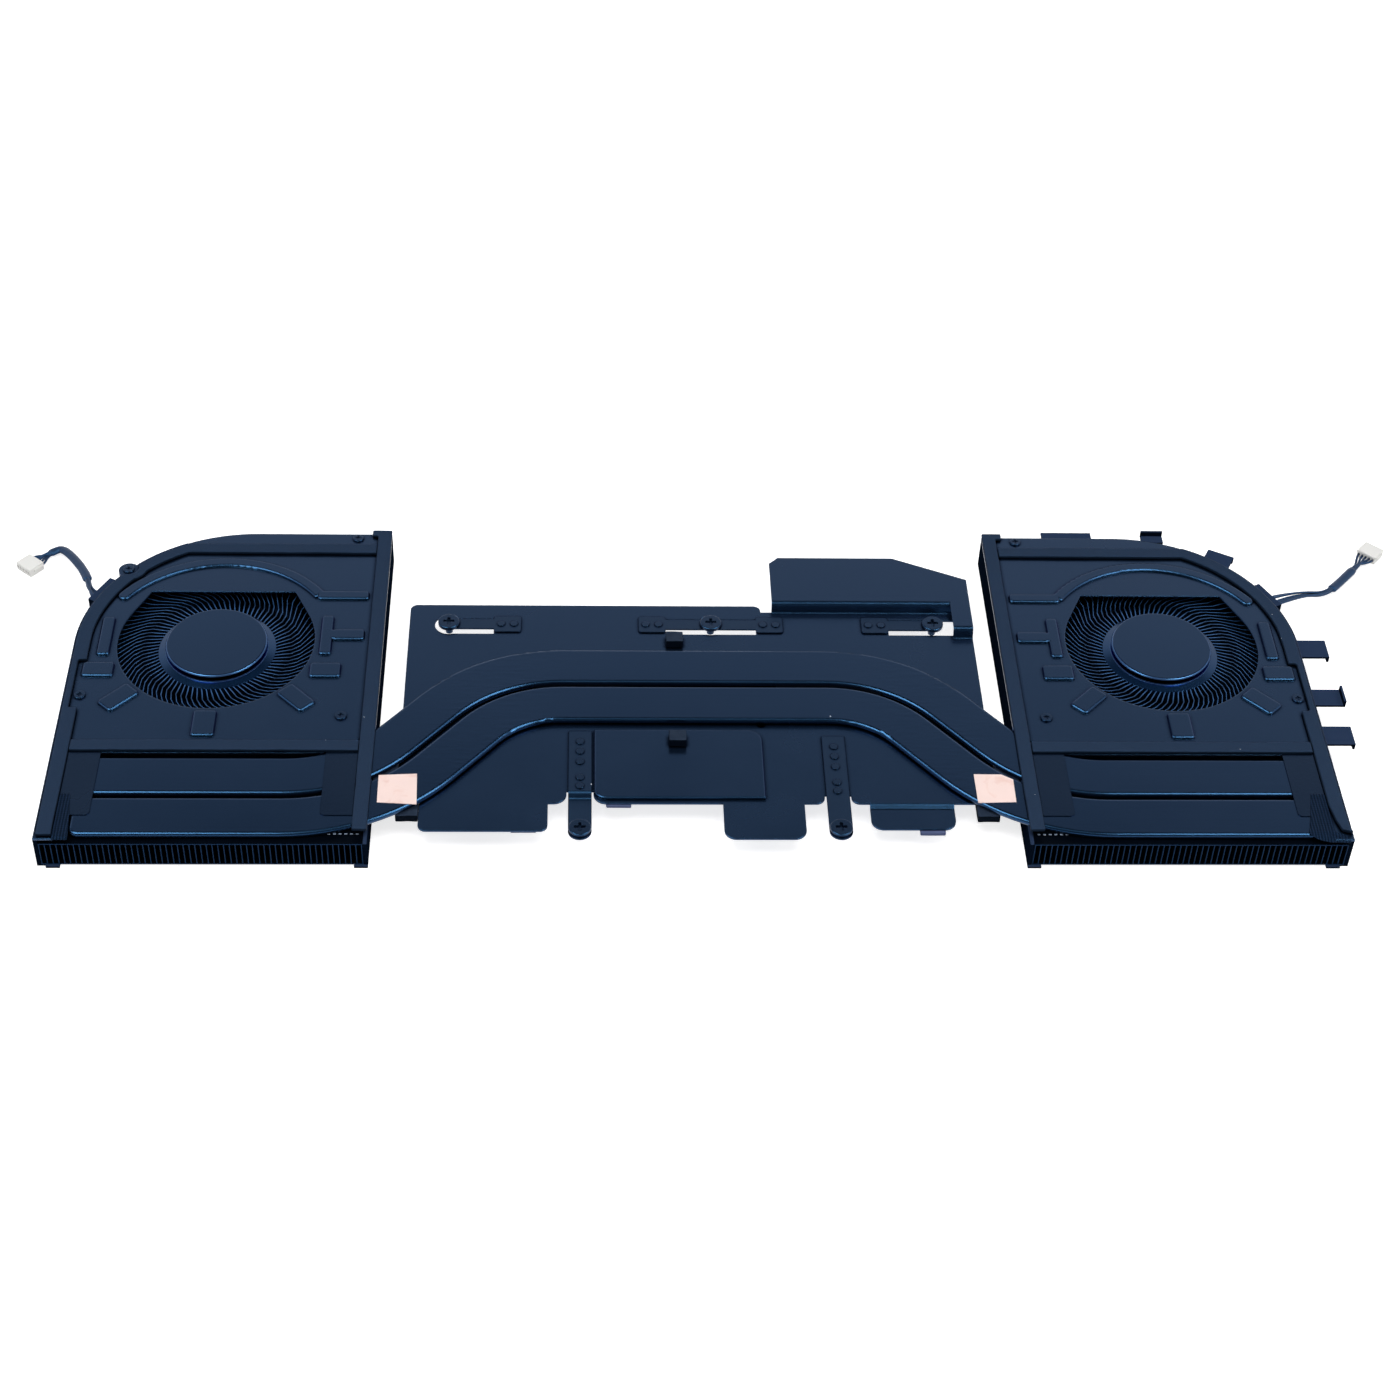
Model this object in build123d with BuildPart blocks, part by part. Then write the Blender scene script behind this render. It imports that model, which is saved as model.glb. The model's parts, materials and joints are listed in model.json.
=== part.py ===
from build123d import *
import os
from math import atan2, cos, degrees, pi, radians, sin, sqrt, tan

os.makedirs("parts", exist_ok=True)

# Each fan is drawn on the right of the mid-plane and mirrored for the left.
# x runs from the mid-plane, y from the fin fronts to the rear, z from the table.

# Thin stock and clearances
floor_thickness = 0.5
wall_thickness = 1.0
cover_thickness = 0.5
gasket_thickness = 1.0
film_thickness = 0.2
foil_thickness = 0.15
fit = 0.05  # gap between parts that are pressed or glued together
slip = 0.15  # gap between parts that drop into each other

# Impeller and the air gaps around it
impeller_radius = 33.5
gap_to_inner_wall = 10.0
gap_to_outer_wall = 3.2
gap_to_rear_wall = 10.5
gap_to_fins = 9.35
cap_radius = 13.6
cap_wall = 0.9
cap_height = 7.7
cap_edge_radius = 0.6
cap_lift = 0.7  # over the motor board
skirt_width = 2.0
skirt_drop = 2.7  # from the cap's top to the skirt's rim
skirt_slope = 0.6
blade_count = 83
blade_thickness = 0.3
blade_height = 5.0
blade_sweep = 1.78  # degrees of sweep for each millimetre outwards
blade_wave = 2.0  # degrees of the bend along the blade
blade_wave_length = 11.0
blade_stations = 9
hoop_radius = 30.0
hoop_width = 0.8
hoop_height = 0.6

# Motor inside the cap
shaft_radius = 1.0
shaft_play = 0.03
shaft_boss_wall = 1.3
shaft_boss_height = 1.2
sleeve_wall = 1.4
tube_wall = 0.9
tube_height = 5.4
stator_radius = 9.8
stator_yoke = 2.2
stator_height = 2.4
stator_lift = 1.6  # over the motor board
tooth_count = 9
tooth_width = 1.5
coil_build = 0.7
coil_length = 2.6
magnet_thickness = 1.4
magnet_height = 4.2
board_thickness = 0.4
board_radius = 12.0
board_tongue_width = 6.0
board_tongue_length = 33.0

# Fins and heat pipes
fin_height = 7.3
fin_count = 57
fin_thickness = 0.25
fin_front_margin = 1.75
fin_rear_margin = 1.35
pipe_width = 12.9
pipe_thickness = 1.8
pipe_gap = 1.5
pipe_edge_radius = 0.8
pipe_end_radius = 2.5
pipe_end_margin = 8.2  # from the casing's outer side
pipe_rise = 41.65  # from the fins back to the run over the chips
pipe_bend_run = 34.3
pipe_bend_past_wall = 5.8
front_pipe_shoulder_radius = 27.2
rear_pipe_foot_radius = 34.5

# Casing
fan_inner_x = 83.2
corner_radius = 45.0
foot_length = 0.8
foot_width = 3.5
arm_floor_width = 5.7
post_radius = 1.8
ear_radius = 2.8
ear_angle = 40.4
hook_thickness = 0.6
exit_angle = 28.5
exit_block_depth = 2.4
exit_block_width = 10.0
exit_block_height = 7.0
side_screw_inset = 4.4
side_screw_forward = 21.5  # from the hub
front_screw_inset = 9.3
front_screw_back = 13.6  # from the cover's front edge
rear_screw_inset = 9.4
rear_screw_forward = 2.0  # from the casing's rear

# Cover and its foam strips
intake_radius = 26.2
intake_chord = 20.2  # from the hub back to the straight edge of the intake
intake_flank_angle = 25.0  # where the round turns into straight flanks
cover_arm_width = 4.9
emboss_height = 0.7
emboss_edge = 0.6
emboss_corner = 1.0
rib_radius = 32.2
rib_width = 3.4
rib_start_angle = 34.0
rib_end_angle = 145.0
rib_tail_length = 14.1
rib_tail_x = -32.65  # middle of the tail, from the hub
gasket_width = 3.8
gasket_edge_inset = 0.7
gasket_rear_inset = 5.2
gasket_front_end = 2.8
rim_front_end = {"left": 0.9, "right": 2.0}
gasket_head_width = 5.5
gasket_head_length = 2.3
gasket_ear_width = 2.3
notch_depth = 2.2
notch_front = 5.3
notch_rear = 13.3
film_width = 8.2
film_corner = 1.2
tape_width = {"left": 4.4, "right": 5.2}
tape_front_y = 0.4
tape_rear_y = 15.5

# Base plate
plate_thickness = 0.5
plate_side_gap = 6.5  # to the casing's inner side
plate_rear = 33.5  # back from the middle of the two pipes
plate_front = 42.6  # forward from the middle of the two pipes
plate_waist = 5.8  # how much narrower the plate is ahead of the step
plate_step = 5.6  # from the front edge back to the step
plate_corner = 2.0
wing_depth = 9.7  # how far the wing reaches past the front edge
wing_gap = 8.1  # from the left arm's middle to the wing
tab_left_x = 6.2
tab_right_x = 27.0
tab_depth = 12.4
tab_corner = 3.0
flange_left_x = 43.7
flange_right_x = 65.3
flange_short = 1.4  # how much shorter the flange is than the wing
flange_drop = 0.8
flange_ramp = 1.0
arm_notch_gap = 0.4  # beside a front arm
left_notch_depth = 4.3
right_notch_depth = 2.9
notch_round = 0.76  # rounding of a notch's corners against its depth
panel_right_x = 17.2
panel_rise = 0.8
panel_gap = 2.6  # to the front pipe and to the plate's front edge
panel_arm_gap = 0.6  # to the left front arm
panel_corner = 4.0
panel_near_corner = 3.0
panel_edge = 0.4
flap_rise = 3.0
flap_left_x = 22.1
flap_relief = 3.0
flap_depth = 18.85  # behind the ramp
flap_corner = 2.5
flap_slope_x = 20.0  # from the plate's right edge to the slanted rear corner
flap_slope_y = 9.0
strip_width = 5.4
strip_lap = 1.0  # of the ramp under the raised strip beside it
ramp_margin = 3.1  # from the spring slots to the ramp
ramp_depth = 0.9
ramp_foot = 2.0
bend_radius = 0.9
window_margin = 2.0
dimple_radius = 1.2
dimple_depth = 0.3

# Springs, rivets and screws
spring_thickness = 0.4
spring_line = 25.4  # back from the middle of the two pipes
leaf_width = 3.9
leaf_pad_width = 6.3
leaf_pad_length = 7.4
leaf_pad_corner = 0.8
leaf_end_radius = 2.3
slot_front_reach = 3.65  # forward from the springs' middle
slot_rear_gap = 0.5  # behind a leaf
slot_eye_radius = 3.8
side_screw_to_edge = 10.7
side_screw_to_pad = 15.9
center_screw_x = 5.2
center_screw_to_pad = 16.0
rivet_pitch = 3.5
rivet_steps = (4.0, 7.6, 11.4, 17.1, 20.2)  # along a front arm from its rear end
arm_width = 6.0
arm_drop = 1.5
arm_joggle = 0.9
arm_bend_clear = 0.6  # from the notch to the bend
left_arm_length = 37.55
left_arm_rear = 16.6  # forward from the middle of the two pipes
right_arm_length = 37.2
right_arm_rear = 18.3
arm_screw_to_end = 3.4
rivet_radius = 0.65
rivet_head_radius = 1.1
rivet_head_height = 0.25
captive_head_radius = 2.9
captive_head_height = 1.0
captive_neck_radius = 0.8  # thinner than the thread, so the springs hold the screws
captive_neck_length = 1.6
captive_thread_radius = 1.0
captive_thread_length = 1.2
cover_head_radius = 1.5
cover_head_height = 0.5
cover_thread_radius = 0.7
cover_screw_length = 3.2
cross_reach = 1.0  # span of the cross against the head's radius
cross_slit = 0.26  # width of the cross against the head's radius
cross_sink = 0.8  # depth of the cross against the head's height
head_round = 0.3  # rounding of a head against its height

# Chips, pads and foam
chip_plate_thickness = 1.5
chip_plate_depth = 24.0
left_chip_x = -30.2
left_chip_width = 28.0
right_chip_x = 35.7
right_chip_width = 32.0
foam_x = -4.9
foam_width = 4.6
foam_depth = 4.0
foam_gap = 2.6  # from a pipe to the foam
foam_height = 2.5
pad_thickness = 1.1
pad_width = 6.5
pad_inset = 1.4
lip_pad_reach = 0.3  # past the front edge
wing_pad_inset = 0.6
flange_pad_reach = 0.8
support_height = 2.2
support_depth = 10.0
bridge_depth = 11.0

# Fan leads, as steps from the exit in the casing wall
lead_diameter = 2.0
lead_exit_z = 5.0
lead_straight = 3.5
lead_bend_share = 0.45  # of the shorter run beside a bend, taken up by its arc
lead_steps = {
    "right": [(11.5, 6.0, 3.4), (18.5, 7.6, 1.9), (24.9, 14.5, 1.3), (33.8, 24.7, 1.3)],
    "left": [(5.5, 11.5, 4.0), (13.2, 24.0, 2.0), (16.4, 25.0, 1.3), (20.8, 19.8, 1.3)],
}
connector_length = 5.0
connector_width = 6.4
connector_height = 2.6

# Heights that follow
fin_top_z = floor_thickness + fin_height
pipe_top_z = fin_top_z + pipe_thickness
cover_top_z = pipe_top_z
wall_top_z = cover_top_z - cover_thickness
plate_top_z = fin_top_z
plate_bottom_z = plate_top_z - plate_thickness
plate_middle_z = plate_top_z - plate_thickness / 2
spring_top_z = plate_top_z + spring_thickness
board_top_z = floor_thickness + board_thickness
cap_bottom_z = board_top_z + cap_lift
cap_top_z = cap_bottom_z + cap_height
skirt_z = cap_top_z - skirt_drop
blade_bottom_z = skirt_z - blade_height

# Plan places of the fans that follow
pipe_spacing = pipe_width + pipe_gap
fin_depth = fin_front_margin + pipe_width + pipe_spacing + fin_rear_margin
chamber_front_y = fin_depth + slip
cover_front_y = chamber_front_y + slip
front_bay_y = fin_front_margin + pipe_width / 2
hub_x = fan_inner_x + wall_thickness + gap_to_inner_wall + impeller_radius
hub_y = chamber_front_y + gap_to_fins + impeller_radius
fan_outer_x = hub_x + impeller_radius + gap_to_outer_wall + wall_thickness
fan_rear_y = hub_y + impeller_radius + gap_to_rear_wall + wall_thickness
corner_x = fan_outer_x - corner_radius
corner_y = fan_rear_y - corner_radius
skirt_radius = cap_radius + skirt_width
sleeve_radius = shaft_radius + shaft_play + sleeve_wall
tube_radius = sleeve_radius + fit + tube_wall
stator_bore = tube_radius + fit
magnet_radius = cap_radius - cap_wall - fit
rim_strip_x = fan_outer_x - gasket_edge_inset - gasket_width
inner_strip_x = fan_inner_x + gasket_width
ear_place = (corner_x + corner_radius * cos(radians(ear_angle)),
             corner_y + corner_radius * sin(radians(ear_angle)))
side_screw_place = (fan_outer_x - side_screw_inset, hub_y - side_screw_forward)
screw_places = [
    side_screw_place,
    (fan_inner_x + front_screw_inset, cover_front_y + front_screw_back),
    (fan_inner_x + rear_screw_inset, fan_rear_y - rear_screw_forward),
]

# Plan places of the middle that follow
bend_shift = pipe_spacing * tan(atan2(pipe_rise, pipe_bend_run) / 2)
run_y = front_bay_y + pipe_rise + pipe_spacing / 2
run_front_y = run_y - pipe_spacing / 2 - pipe_width / 2
run_rear_y = run_y + pipe_spacing / 2 + pipe_width / 2
plate_half = fan_inner_x - plate_side_gap
waist_half = plate_half - plate_waist
plate_front_y = run_y - plate_front
wing_front_y = plate_front_y - wing_depth
flange_front_y = wing_front_y + flange_short
step_y = plate_front_y + plate_step
spring_y = run_y + spring_line
slot_front_y = spring_y - slot_front_reach
slot_rear_y = spring_y + leaf_width / 2 + slot_rear_gap
leg_y = slot_front_y - bend_radius
ramp_y = slot_rear_y + ramp_margin
strip_x = plate_half - strip_width
screw_x = plate_half - side_screw_to_edge
pad_x = screw_x - side_screw_to_pad
center_pads = (center_screw_x - center_screw_to_pad, center_screw_x + center_screw_to_pad)
left_arm_rear_y = run_y - left_arm_rear
right_arm_rear_y = run_y - right_arm_rear
left_arm_front_y = left_arm_rear_y - left_arm_length
right_arm_front_y = right_arm_rear_y - right_arm_length
panel_left_x = left_chip_x + arm_width / 2 + panel_arm_gap
rivet_places = [
    *[(x + half * rivet_pitch / 2, spring_y) for x in (-pad_x, pad_x, *center_pads) for half in (-1, 1)],
    *[(left_chip_x, left_arm_rear_y - step) for step in rivet_steps],
    *[(right_chip_x, right_arm_rear_y - step) for step in rivet_steps],
]

# Cable hooks of the right fan: root x and y, heading, length, width, rise of the lip
hook_arc = radians(51.0)
hook_arc_x = corner_x + corner_radius * cos(hook_arc)
hook_arc_y = corner_y + corner_radius * sin(hook_arc)
hooks = [
    (fan_inner_x + 24.5, fan_rear_y, 90.0, 3.1, 14.2, 0.0),
    (fan_inner_x + 48.9, fan_rear_y, 90.0, 2.4, 6.2, 1.5),
    (hook_arc_x, hook_arc_y, 62.0, 5.0, 7.6, -1.4),
    (fan_outer_x, corner_y - 0.8, 0.0, 7.8, 6.8, -1.2),
    (fan_outer_x, corner_y - 20.2, 0.0, 8.2, 6.2, 1.5),
    (fan_outer_x, corner_y - 34.8, 0.0, 7.8, 6.8, -1.2),
]
hook_reach_x = fan_outer_x + max(hook[3] for hook in hooks if hook[2] == 0.0)
hook_reach_y = fan_rear_y + max(hook[3] for hook in hooks if hook[2] == 90.0)

# The origin is under the middle of the whole, leads left out, on the table
origin_x = (hook_reach_x - fan_outer_x) / 2
origin_y = (hook_reach_y - foot_length) / 2


def write(part, name, side="right"):
    # Mirrors a left-hand piece, sets the piece to the origin and writes it
    placed = mirror(part, about=Plane.YZ) if side == "left" else part
    placed = placed.moved(Location((-origin_x, -origin_y, 0)))
    placed.label = name
    export_step(placed, f"parts/{name}.step")


def block(x0, x1, y0, y1, z0, z1, mode=Mode.ADD):
    # Box between two corners
    with Locations(((x0 + x1) / 2, (y0 + y1) / 2, (z0 + z1) / 2)):
        Box(x1 - x0, y1 - y0, z1 - z0, mode=mode)


def panel(x0, x1, y0, y1, mode=Mode.ADD):
    # Rectangle between two corners
    with Locations(((x0 + x1) / 2, (y0 + y1) / 2)):
        Rectangle(x1 - x0, y1 - y0, mode=mode)


def round_panel(x0, x1, y0, y1, corner):
    # Rectangle between two corners, rounded
    with Locations(((x0 + x1) / 2, (y0 + y1) / 2)):
        RectangleRounded(x1 - x0, y1 - y0, corner)


def casing_face(inset, front_y, mode=Mode.ADD):
    # Casing outline in plan, with the large rear corner
    near_x = fan_inner_x + inset
    far_x = fan_outer_x - inset
    rear_y = fan_rear_y - inset
    with BuildLine() as outline:
        Polyline((far_x, corner_y), (far_x, front_y), (near_x, front_y), (near_x, rear_y), (corner_x, rear_y))
        CenterArc((corner_x, corner_y), corner_radius - inset, 0, 90)
    make_face(outline.edges(), mode=mode)


def bent_strip(x0, x1, route, thickness):
    # Strip of sheet from x0 to x1, bent along a route of y and z
    with BuildSketch(Plane.YZ.offset(x0)) as section:
        with BuildLine():
            FilletPolyline(*route, radius=bend_radius)
        trace(line_width=thickness)
    extrude(section.sketch, amount=x1 - x0)


def pipe_plan(front, width):
    # Plan of the front or rear pipe: over the fins, up the bends and across the chips
    bay_y = front_bay_y if front else front_bay_y + pipe_spacing
    foot_radius = rear_pipe_foot_radius + (pipe_spacing if front else 0)
    shoulder_radius = front_pipe_shoulder_radius + (0 if front else pipe_spacing)
    foot_x = fan_inner_x + pipe_bend_past_wall - (bend_shift if front else 0)
    shoulder_x = foot_x - pipe_bend_run
    end_x = fan_outer_x - pipe_end_margin
    top_y = bay_y + pipe_rise
    with BuildSketch(Plane.XY.offset(fin_top_z)) as plan:
        with BuildLine():
            FilletPolyline(
                (-end_x, bay_y), (-foot_x, bay_y), (-shoulder_x, top_y),
                (shoulder_x, top_y), (foot_x, bay_y), (end_x, bay_y),
                radius=[foot_radius, shoulder_radius, shoulder_radius, foot_radius],
            )
        trace(line_width=width)
        ends = plan.vertices().filter_by(lambda corner: abs(abs(corner.X) - end_x) < fit)
        fillet(ends, pipe_end_radius)
    return plan.sketch


def fan_screw_places(side):
    return screw_places + [ear_place] if side == "left" else screw_places


def make_screw(head_radius, head_height, thread_radius, length, neck_radius=0, neck_length=0):
    # Cross-head screw with the underside of its head at the origin
    hanging = (Align.CENTER, Align.CENTER, Align.MAX)
    with BuildPart() as screw:
        Cylinder(head_radius, head_height, align=(Align.CENTER, Align.CENTER, Align.MIN))
        fillet(screw.edges().group_by(Axis.Z)[-1], head_round * head_height)
        if neck_length:
            Cylinder(neck_radius, neck_length, align=hanging)
        with Locations((0, 0, -neck_length)):
            Cylinder(thread_radius, length, align=hanging)
        depth = cross_sink * head_height
        with Locations((0, 0, head_height - depth / 2)):
            Box(cross_reach * head_radius, cross_slit * head_radius, depth, mode=Mode.SUBTRACT)
            Box(cross_slit * head_radius, cross_reach * head_radius, depth, mode=Mode.SUBTRACT)
    return screw.part


def build_fan_base(side):
    with BuildPart() as base:
        with BuildSketch():
            casing_face(0, chamber_front_y)
            panel(fan_inner_x, fan_inner_x + foot_width, -foot_length, chamber_front_y)
            arm_x = fan_outer_x - arm_floor_width
            panel(arm_x, fan_outer_x, 0, chamber_front_y)
            panel(arm_x, arm_x + foot_width, -foot_length, chamber_front_y)
            if side == "left":
                with Locations(ear_place):
                    Circle(ear_radius)
        extrude(amount=floor_thickness)
        with BuildSketch(Plane.XY.offset(floor_thickness)):
            casing_face(0, chamber_front_y)
            casing_face(wall_thickness, chamber_front_y, mode=Mode.SUBTRACT)
            panel(fan_inner_x, fan_inner_x + wall_thickness, 0, chamber_front_y)
            panel(fan_outer_x - wall_thickness, fan_outer_x, 0, chamber_front_y)
            with Locations(*screw_places):
                Circle(post_radius)
            if side == "left":
                with Locations(ear_place):
                    Circle(ear_radius)
        extrude(amount=wall_top_z - floor_thickness)
        # The pipes cross the inner wall
        block(fan_inner_x, fan_inner_x + wall_thickness, 0, chamber_front_y, fin_top_z, wall_top_z, Mode.SUBTRACT)
        extrude(pipe_plan(False, pipe_width + 2 * slip), amount=pipe_thickness, mode=Mode.SUBTRACT)
        with BuildSketch(Plane.XY.offset(floor_thickness)):
            with Locations((hub_x, hub_y)):
                Circle(tube_radius)
                Circle(tube_radius - tube_wall, mode=Mode.SUBTRACT)
        extrude(amount=tube_height)
        with Locations(*[(x, y, wall_top_z) for x, y in fan_screw_places(side)]):
            Hole(cover_thread_radius + slip, depth=cover_screw_length + slip)
        outward = Vector(1, 0, 0).rotate(Axis.Z, exit_angle)
        exit_middle = corner_radius + (exit_block_depth - wall_thickness) / 2
        exit_center = Vector(corner_x, corner_y, lead_exit_z) + outward * exit_middle
        with Locations(Plane(exit_center, x_dir=outward)):
            Box(exit_block_depth + wall_thickness, exit_block_width, exit_block_height)
        if side == "right":
            for x, y, heading, length, width, lip in hooks:
                turned = Vector(1, 0, 0).rotate(Axis.Z, heading)
                root = Plane((x, y, wall_top_z - hook_thickness / 2), x_dir=turned)
                with Locations(root.location * Pos((length - wall_thickness) / 2, 0, 0)):
                    Box(length + wall_thickness, width, hook_thickness)
                if lip:
                    with Locations(root.location * Pos(length - hook_thickness / 2, 0, lip / 2)):
                        Box(hook_thickness, width, abs(lip) + hook_thickness)
    write(base.part, f"{side}_fan_base", side)


def emboss_face(inset):
    # Raised pads and ribs of the cover in plan, from the hub: x, y, length, width, turn
    pads = [
        (29.5, 1.5, 3.5, 15.2, 0),
        (29.9, -11.7, 8.4, 5.6, 0),
        (23.2, -22.5, 10.1, 5.5, -46),
        (0, -32.2, 6.2, 9.6, 0),
        (-23.0, -22.4, 10.1, 5.5, 46),
        (-29.8, -11.7, 8.4, 5.6, 0),
        (-29.2, 2.2, 3.4, 15.6, 0),
        (-35.0, 2.4, 8.8, 4.2, 0),
        (rib_tail_x, rib_radius * sin(radians(rib_end_angle)), rib_tail_length, rib_width, 0),
    ]
    for x, y, length, width, turn in pads:
        with Locations(Location((hub_x + x, hub_y + y), turn)):
            RectangleRounded(length - 2 * inset, width - 2 * inset, max(emboss_corner - inset, fit))
    half = rib_width / 2 - inset
    turn = rib_end_angle - rib_start_angle
    with BuildLine() as rib:
        far = CenterArc((hub_x, hub_y), rib_radius + half, rib_start_angle, turn)
        near = CenterArc((hub_x, hub_y), rib_radius - half, rib_start_angle, turn)
        Line(far @ 0, near @ 0)
        Line(far @ 1, near @ 1)
    make_face(rib.edges())
    with Locations((far @ 0 + near @ 0) / 2):
        Circle(half)


def build_fan_cover(side):
    with BuildPart() as cover:
        with BuildSketch(Plane.XY.offset(wall_top_z)):
            casing_face(0, cover_front_y)
            panel(fan_outer_x - cover_arm_width, fan_outer_x, 0, cover_front_y)
            if side == "left":
                with Locations(ear_place):
                    Circle(ear_radius)
        extrude(amount=cover_thickness)
        with BuildSketch(Plane.XY.offset(wall_top_z)):
            emboss_face(0)
        extrude(amount=cover_thickness + emboss_height)
        fillet(cover.edges().group_by(Axis.Z)[-1], emboss_edge)
        with BuildSketch(Plane.XY.offset(wall_top_z)):
            emboss_face(cover_thickness)
        extrude(amount=emboss_height, mode=Mode.SUBTRACT)
        with BuildSketch(Plane.XY.offset(wall_top_z)):
            with Locations((hub_x, hub_y)):
                Circle(intake_radius)
                turn = radians(intake_flank_angle)
                flank_x, flank_y = intake_radius * cos(turn), intake_radius * sin(turn)
                corner_reach = flank_x - (intake_chord - flank_y) * tan(turn)
                Polygon((flank_x, flank_y), (corner_reach, intake_chord), (-corner_reach, intake_chord),
                        (-flank_x, flank_y), align=None)
            edge_y = hub_y + intake_chord
            panel(hub_x - intake_radius, hub_x + intake_radius, edge_y, edge_y + intake_radius, Mode.SUBTRACT)
        extrude(amount=cover_thickness + emboss_height, mode=Mode.SUBTRACT)
        extrude(pipe_plan(False, pipe_width + 2 * slip), amount=pipe_thickness, mode=Mode.SUBTRACT)
        with Locations(*[(x, y, cover_top_z) for x, y in fan_screw_places(side)]):
            Hole(cover_thread_radius + slip, depth=cover_thickness)
    write(cover.part, f"{side}_fan_cover", side)


def build_cover_screws(side):
    screw = make_screw(cover_head_radius, cover_head_height, cover_thread_radius, cover_screw_length)
    with BuildPart() as screws:
        with Locations(*[(x, y, cover_top_z) for x, y in fan_screw_places(side)]):
            add(screw)
    write(screws.part, f"{side}_cover_screws", side)


def blade_outline():
    # Bent blade in plan about the hub, from the skirt to the tip
    inner = skirt_radius - blade_thickness
    step = (impeller_radius - inner) / (blade_stations - 1)
    front, back = [], []
    for station in range(blade_stations):
        out = station * step
        wave = blade_wave * sin(2 * pi * (out / blade_wave_length - 0.25))
        turn = -radians(blade_sweep * out - wave)
        half = blade_thickness / 2 / (inner + out)
        front.append(((inner + out) * cos(turn - half), (inner + out) * sin(turn - half)))
        back.append(((inner + out) * cos(turn + half), (inner + out) * sin(turn + half)))
    return front + back[::-1]


def build_impeller(side):
    boss_radius = shaft_radius + fit + shaft_boss_wall
    under_top_z = cap_top_z - cap_wall
    with BuildPart() as impeller:
        with BuildSketch(Plane((hub_x, hub_y, 0), x_dir=(1, 0, 0), z_dir=(0, -1, 0))):
            with BuildLine():
                Polyline(
                    (0, cap_top_z),
                    (cap_radius, cap_top_z),
                    (cap_radius, skirt_z + skirt_slope),
                    (skirt_radius, skirt_z),
                    (skirt_radius, blade_bottom_z),
                    (cap_radius, blade_bottom_z),
                    (cap_radius, cap_bottom_z),
                    (cap_radius - cap_wall, cap_bottom_z),
                    (cap_radius - cap_wall, under_top_z),
                    (boss_radius, under_top_z),
                    (boss_radius, under_top_z - shaft_boss_height),
                    (shaft_radius + fit, under_top_z - shaft_boss_height),
                    (shaft_radius + fit, under_top_z),
                    (0, under_top_z),
                    close=True,
                )
            make_face()
        revolve(axis=Axis((hub_x, hub_y, 0), (0, 0, 1)))
        fillet(impeller.edges().group_by(Axis.Z)[-1], cap_edge_radius)
        with BuildSketch(Plane((hub_x, hub_y, blade_bottom_z))):
            with PolarLocations(0, blade_count):
                Polygon(*blade_outline(), align=None)
        extrude(amount=blade_height)
        with BuildSketch(Plane((hub_x, hub_y, blade_bottom_z))):
            Circle(hoop_radius + hoop_width / 2)
            Circle(hoop_radius - hoop_width / 2, mode=Mode.SUBTRACT)
        extrude(amount=hoop_height)
    write(impeller.part, f"{side}_impeller", side)


def build_motor(side):
    with BuildPart() as magnet:
        with BuildSketch(Plane((hub_x, hub_y, cap_top_z - cap_wall - magnet_height))):
            Circle(magnet_radius)
            Circle(magnet_radius - magnet_thickness, mode=Mode.SUBTRACT)
        extrude(amount=magnet_height)
    write(magnet.part, f"{side}_rotor_magnet", side)

    with BuildPart() as shaft:
        with BuildSketch(Plane((hub_x, hub_y, floor_thickness + slip))):
            Circle(shaft_radius)
        extrude(amount=cap_top_z - cap_wall - floor_thickness - slip)
    write(shaft.part, f"{side}_fan_shaft", side)

    with BuildPart() as sleeve:
        with BuildSketch(Plane((hub_x, hub_y, floor_thickness))):
            Circle(sleeve_radius)
            Circle(shaft_radius + shaft_play, mode=Mode.SUBTRACT)
        extrude(amount=tube_height)
    write(sleeve.part, f"{side}_bearing_sleeve", side)

    stator_z = board_top_z + stator_lift
    yoke_radius = stator_bore + stator_yoke
    tooth_start = stator_bore + stator_yoke / 2
    with BuildPart() as core:
        with BuildSketch(Plane((hub_x, hub_y, stator_z))):
            Circle(yoke_radius)
            with PolarLocations((tooth_start + stator_radius) / 2, tooth_count):
                Rectangle(stator_radius - tooth_start, tooth_width)
            Circle(stator_bore, mode=Mode.SUBTRACT)
        extrude(amount=stator_height)
    write(core.part, f"{side}_stator_core", side)

    with BuildPart() as coils:
        coil_middle = Plane((hub_x, hub_y, stator_z + stator_height / 2))
        coil_place = yoke_radius + fit + coil_length / 2
        with BuildSketch(coil_middle):
            with PolarLocations(coil_place, tooth_count):
                Rectangle(coil_length, tooth_width + 2 * coil_build)
        extrude(amount=stator_height / 2 + coil_build, both=True)
        with BuildSketch(coil_middle):
            with PolarLocations(coil_place, tooth_count):
                Rectangle(2 * coil_length, tooth_width + 2 * fit)
        extrude(amount=stator_height / 2 + fit, both=True, mode=Mode.SUBTRACT)
    write(coils.part, f"{side}_stator_windings", side)

    with BuildPart() as board:
        with BuildSketch(Plane((hub_x, hub_y, floor_thickness))):
            Circle(board_radius)
            with Locations(Rot(0, 0, exit_angle) * Pos(board_tongue_length / 2, 0, 0)):
                Rectangle(board_tongue_length, board_tongue_width)
            Circle(tube_radius + fit, mode=Mode.SUBTRACT)
        extrude(amount=board_thickness)
    write(board.part, f"{side}_motor_board", side)


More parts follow.
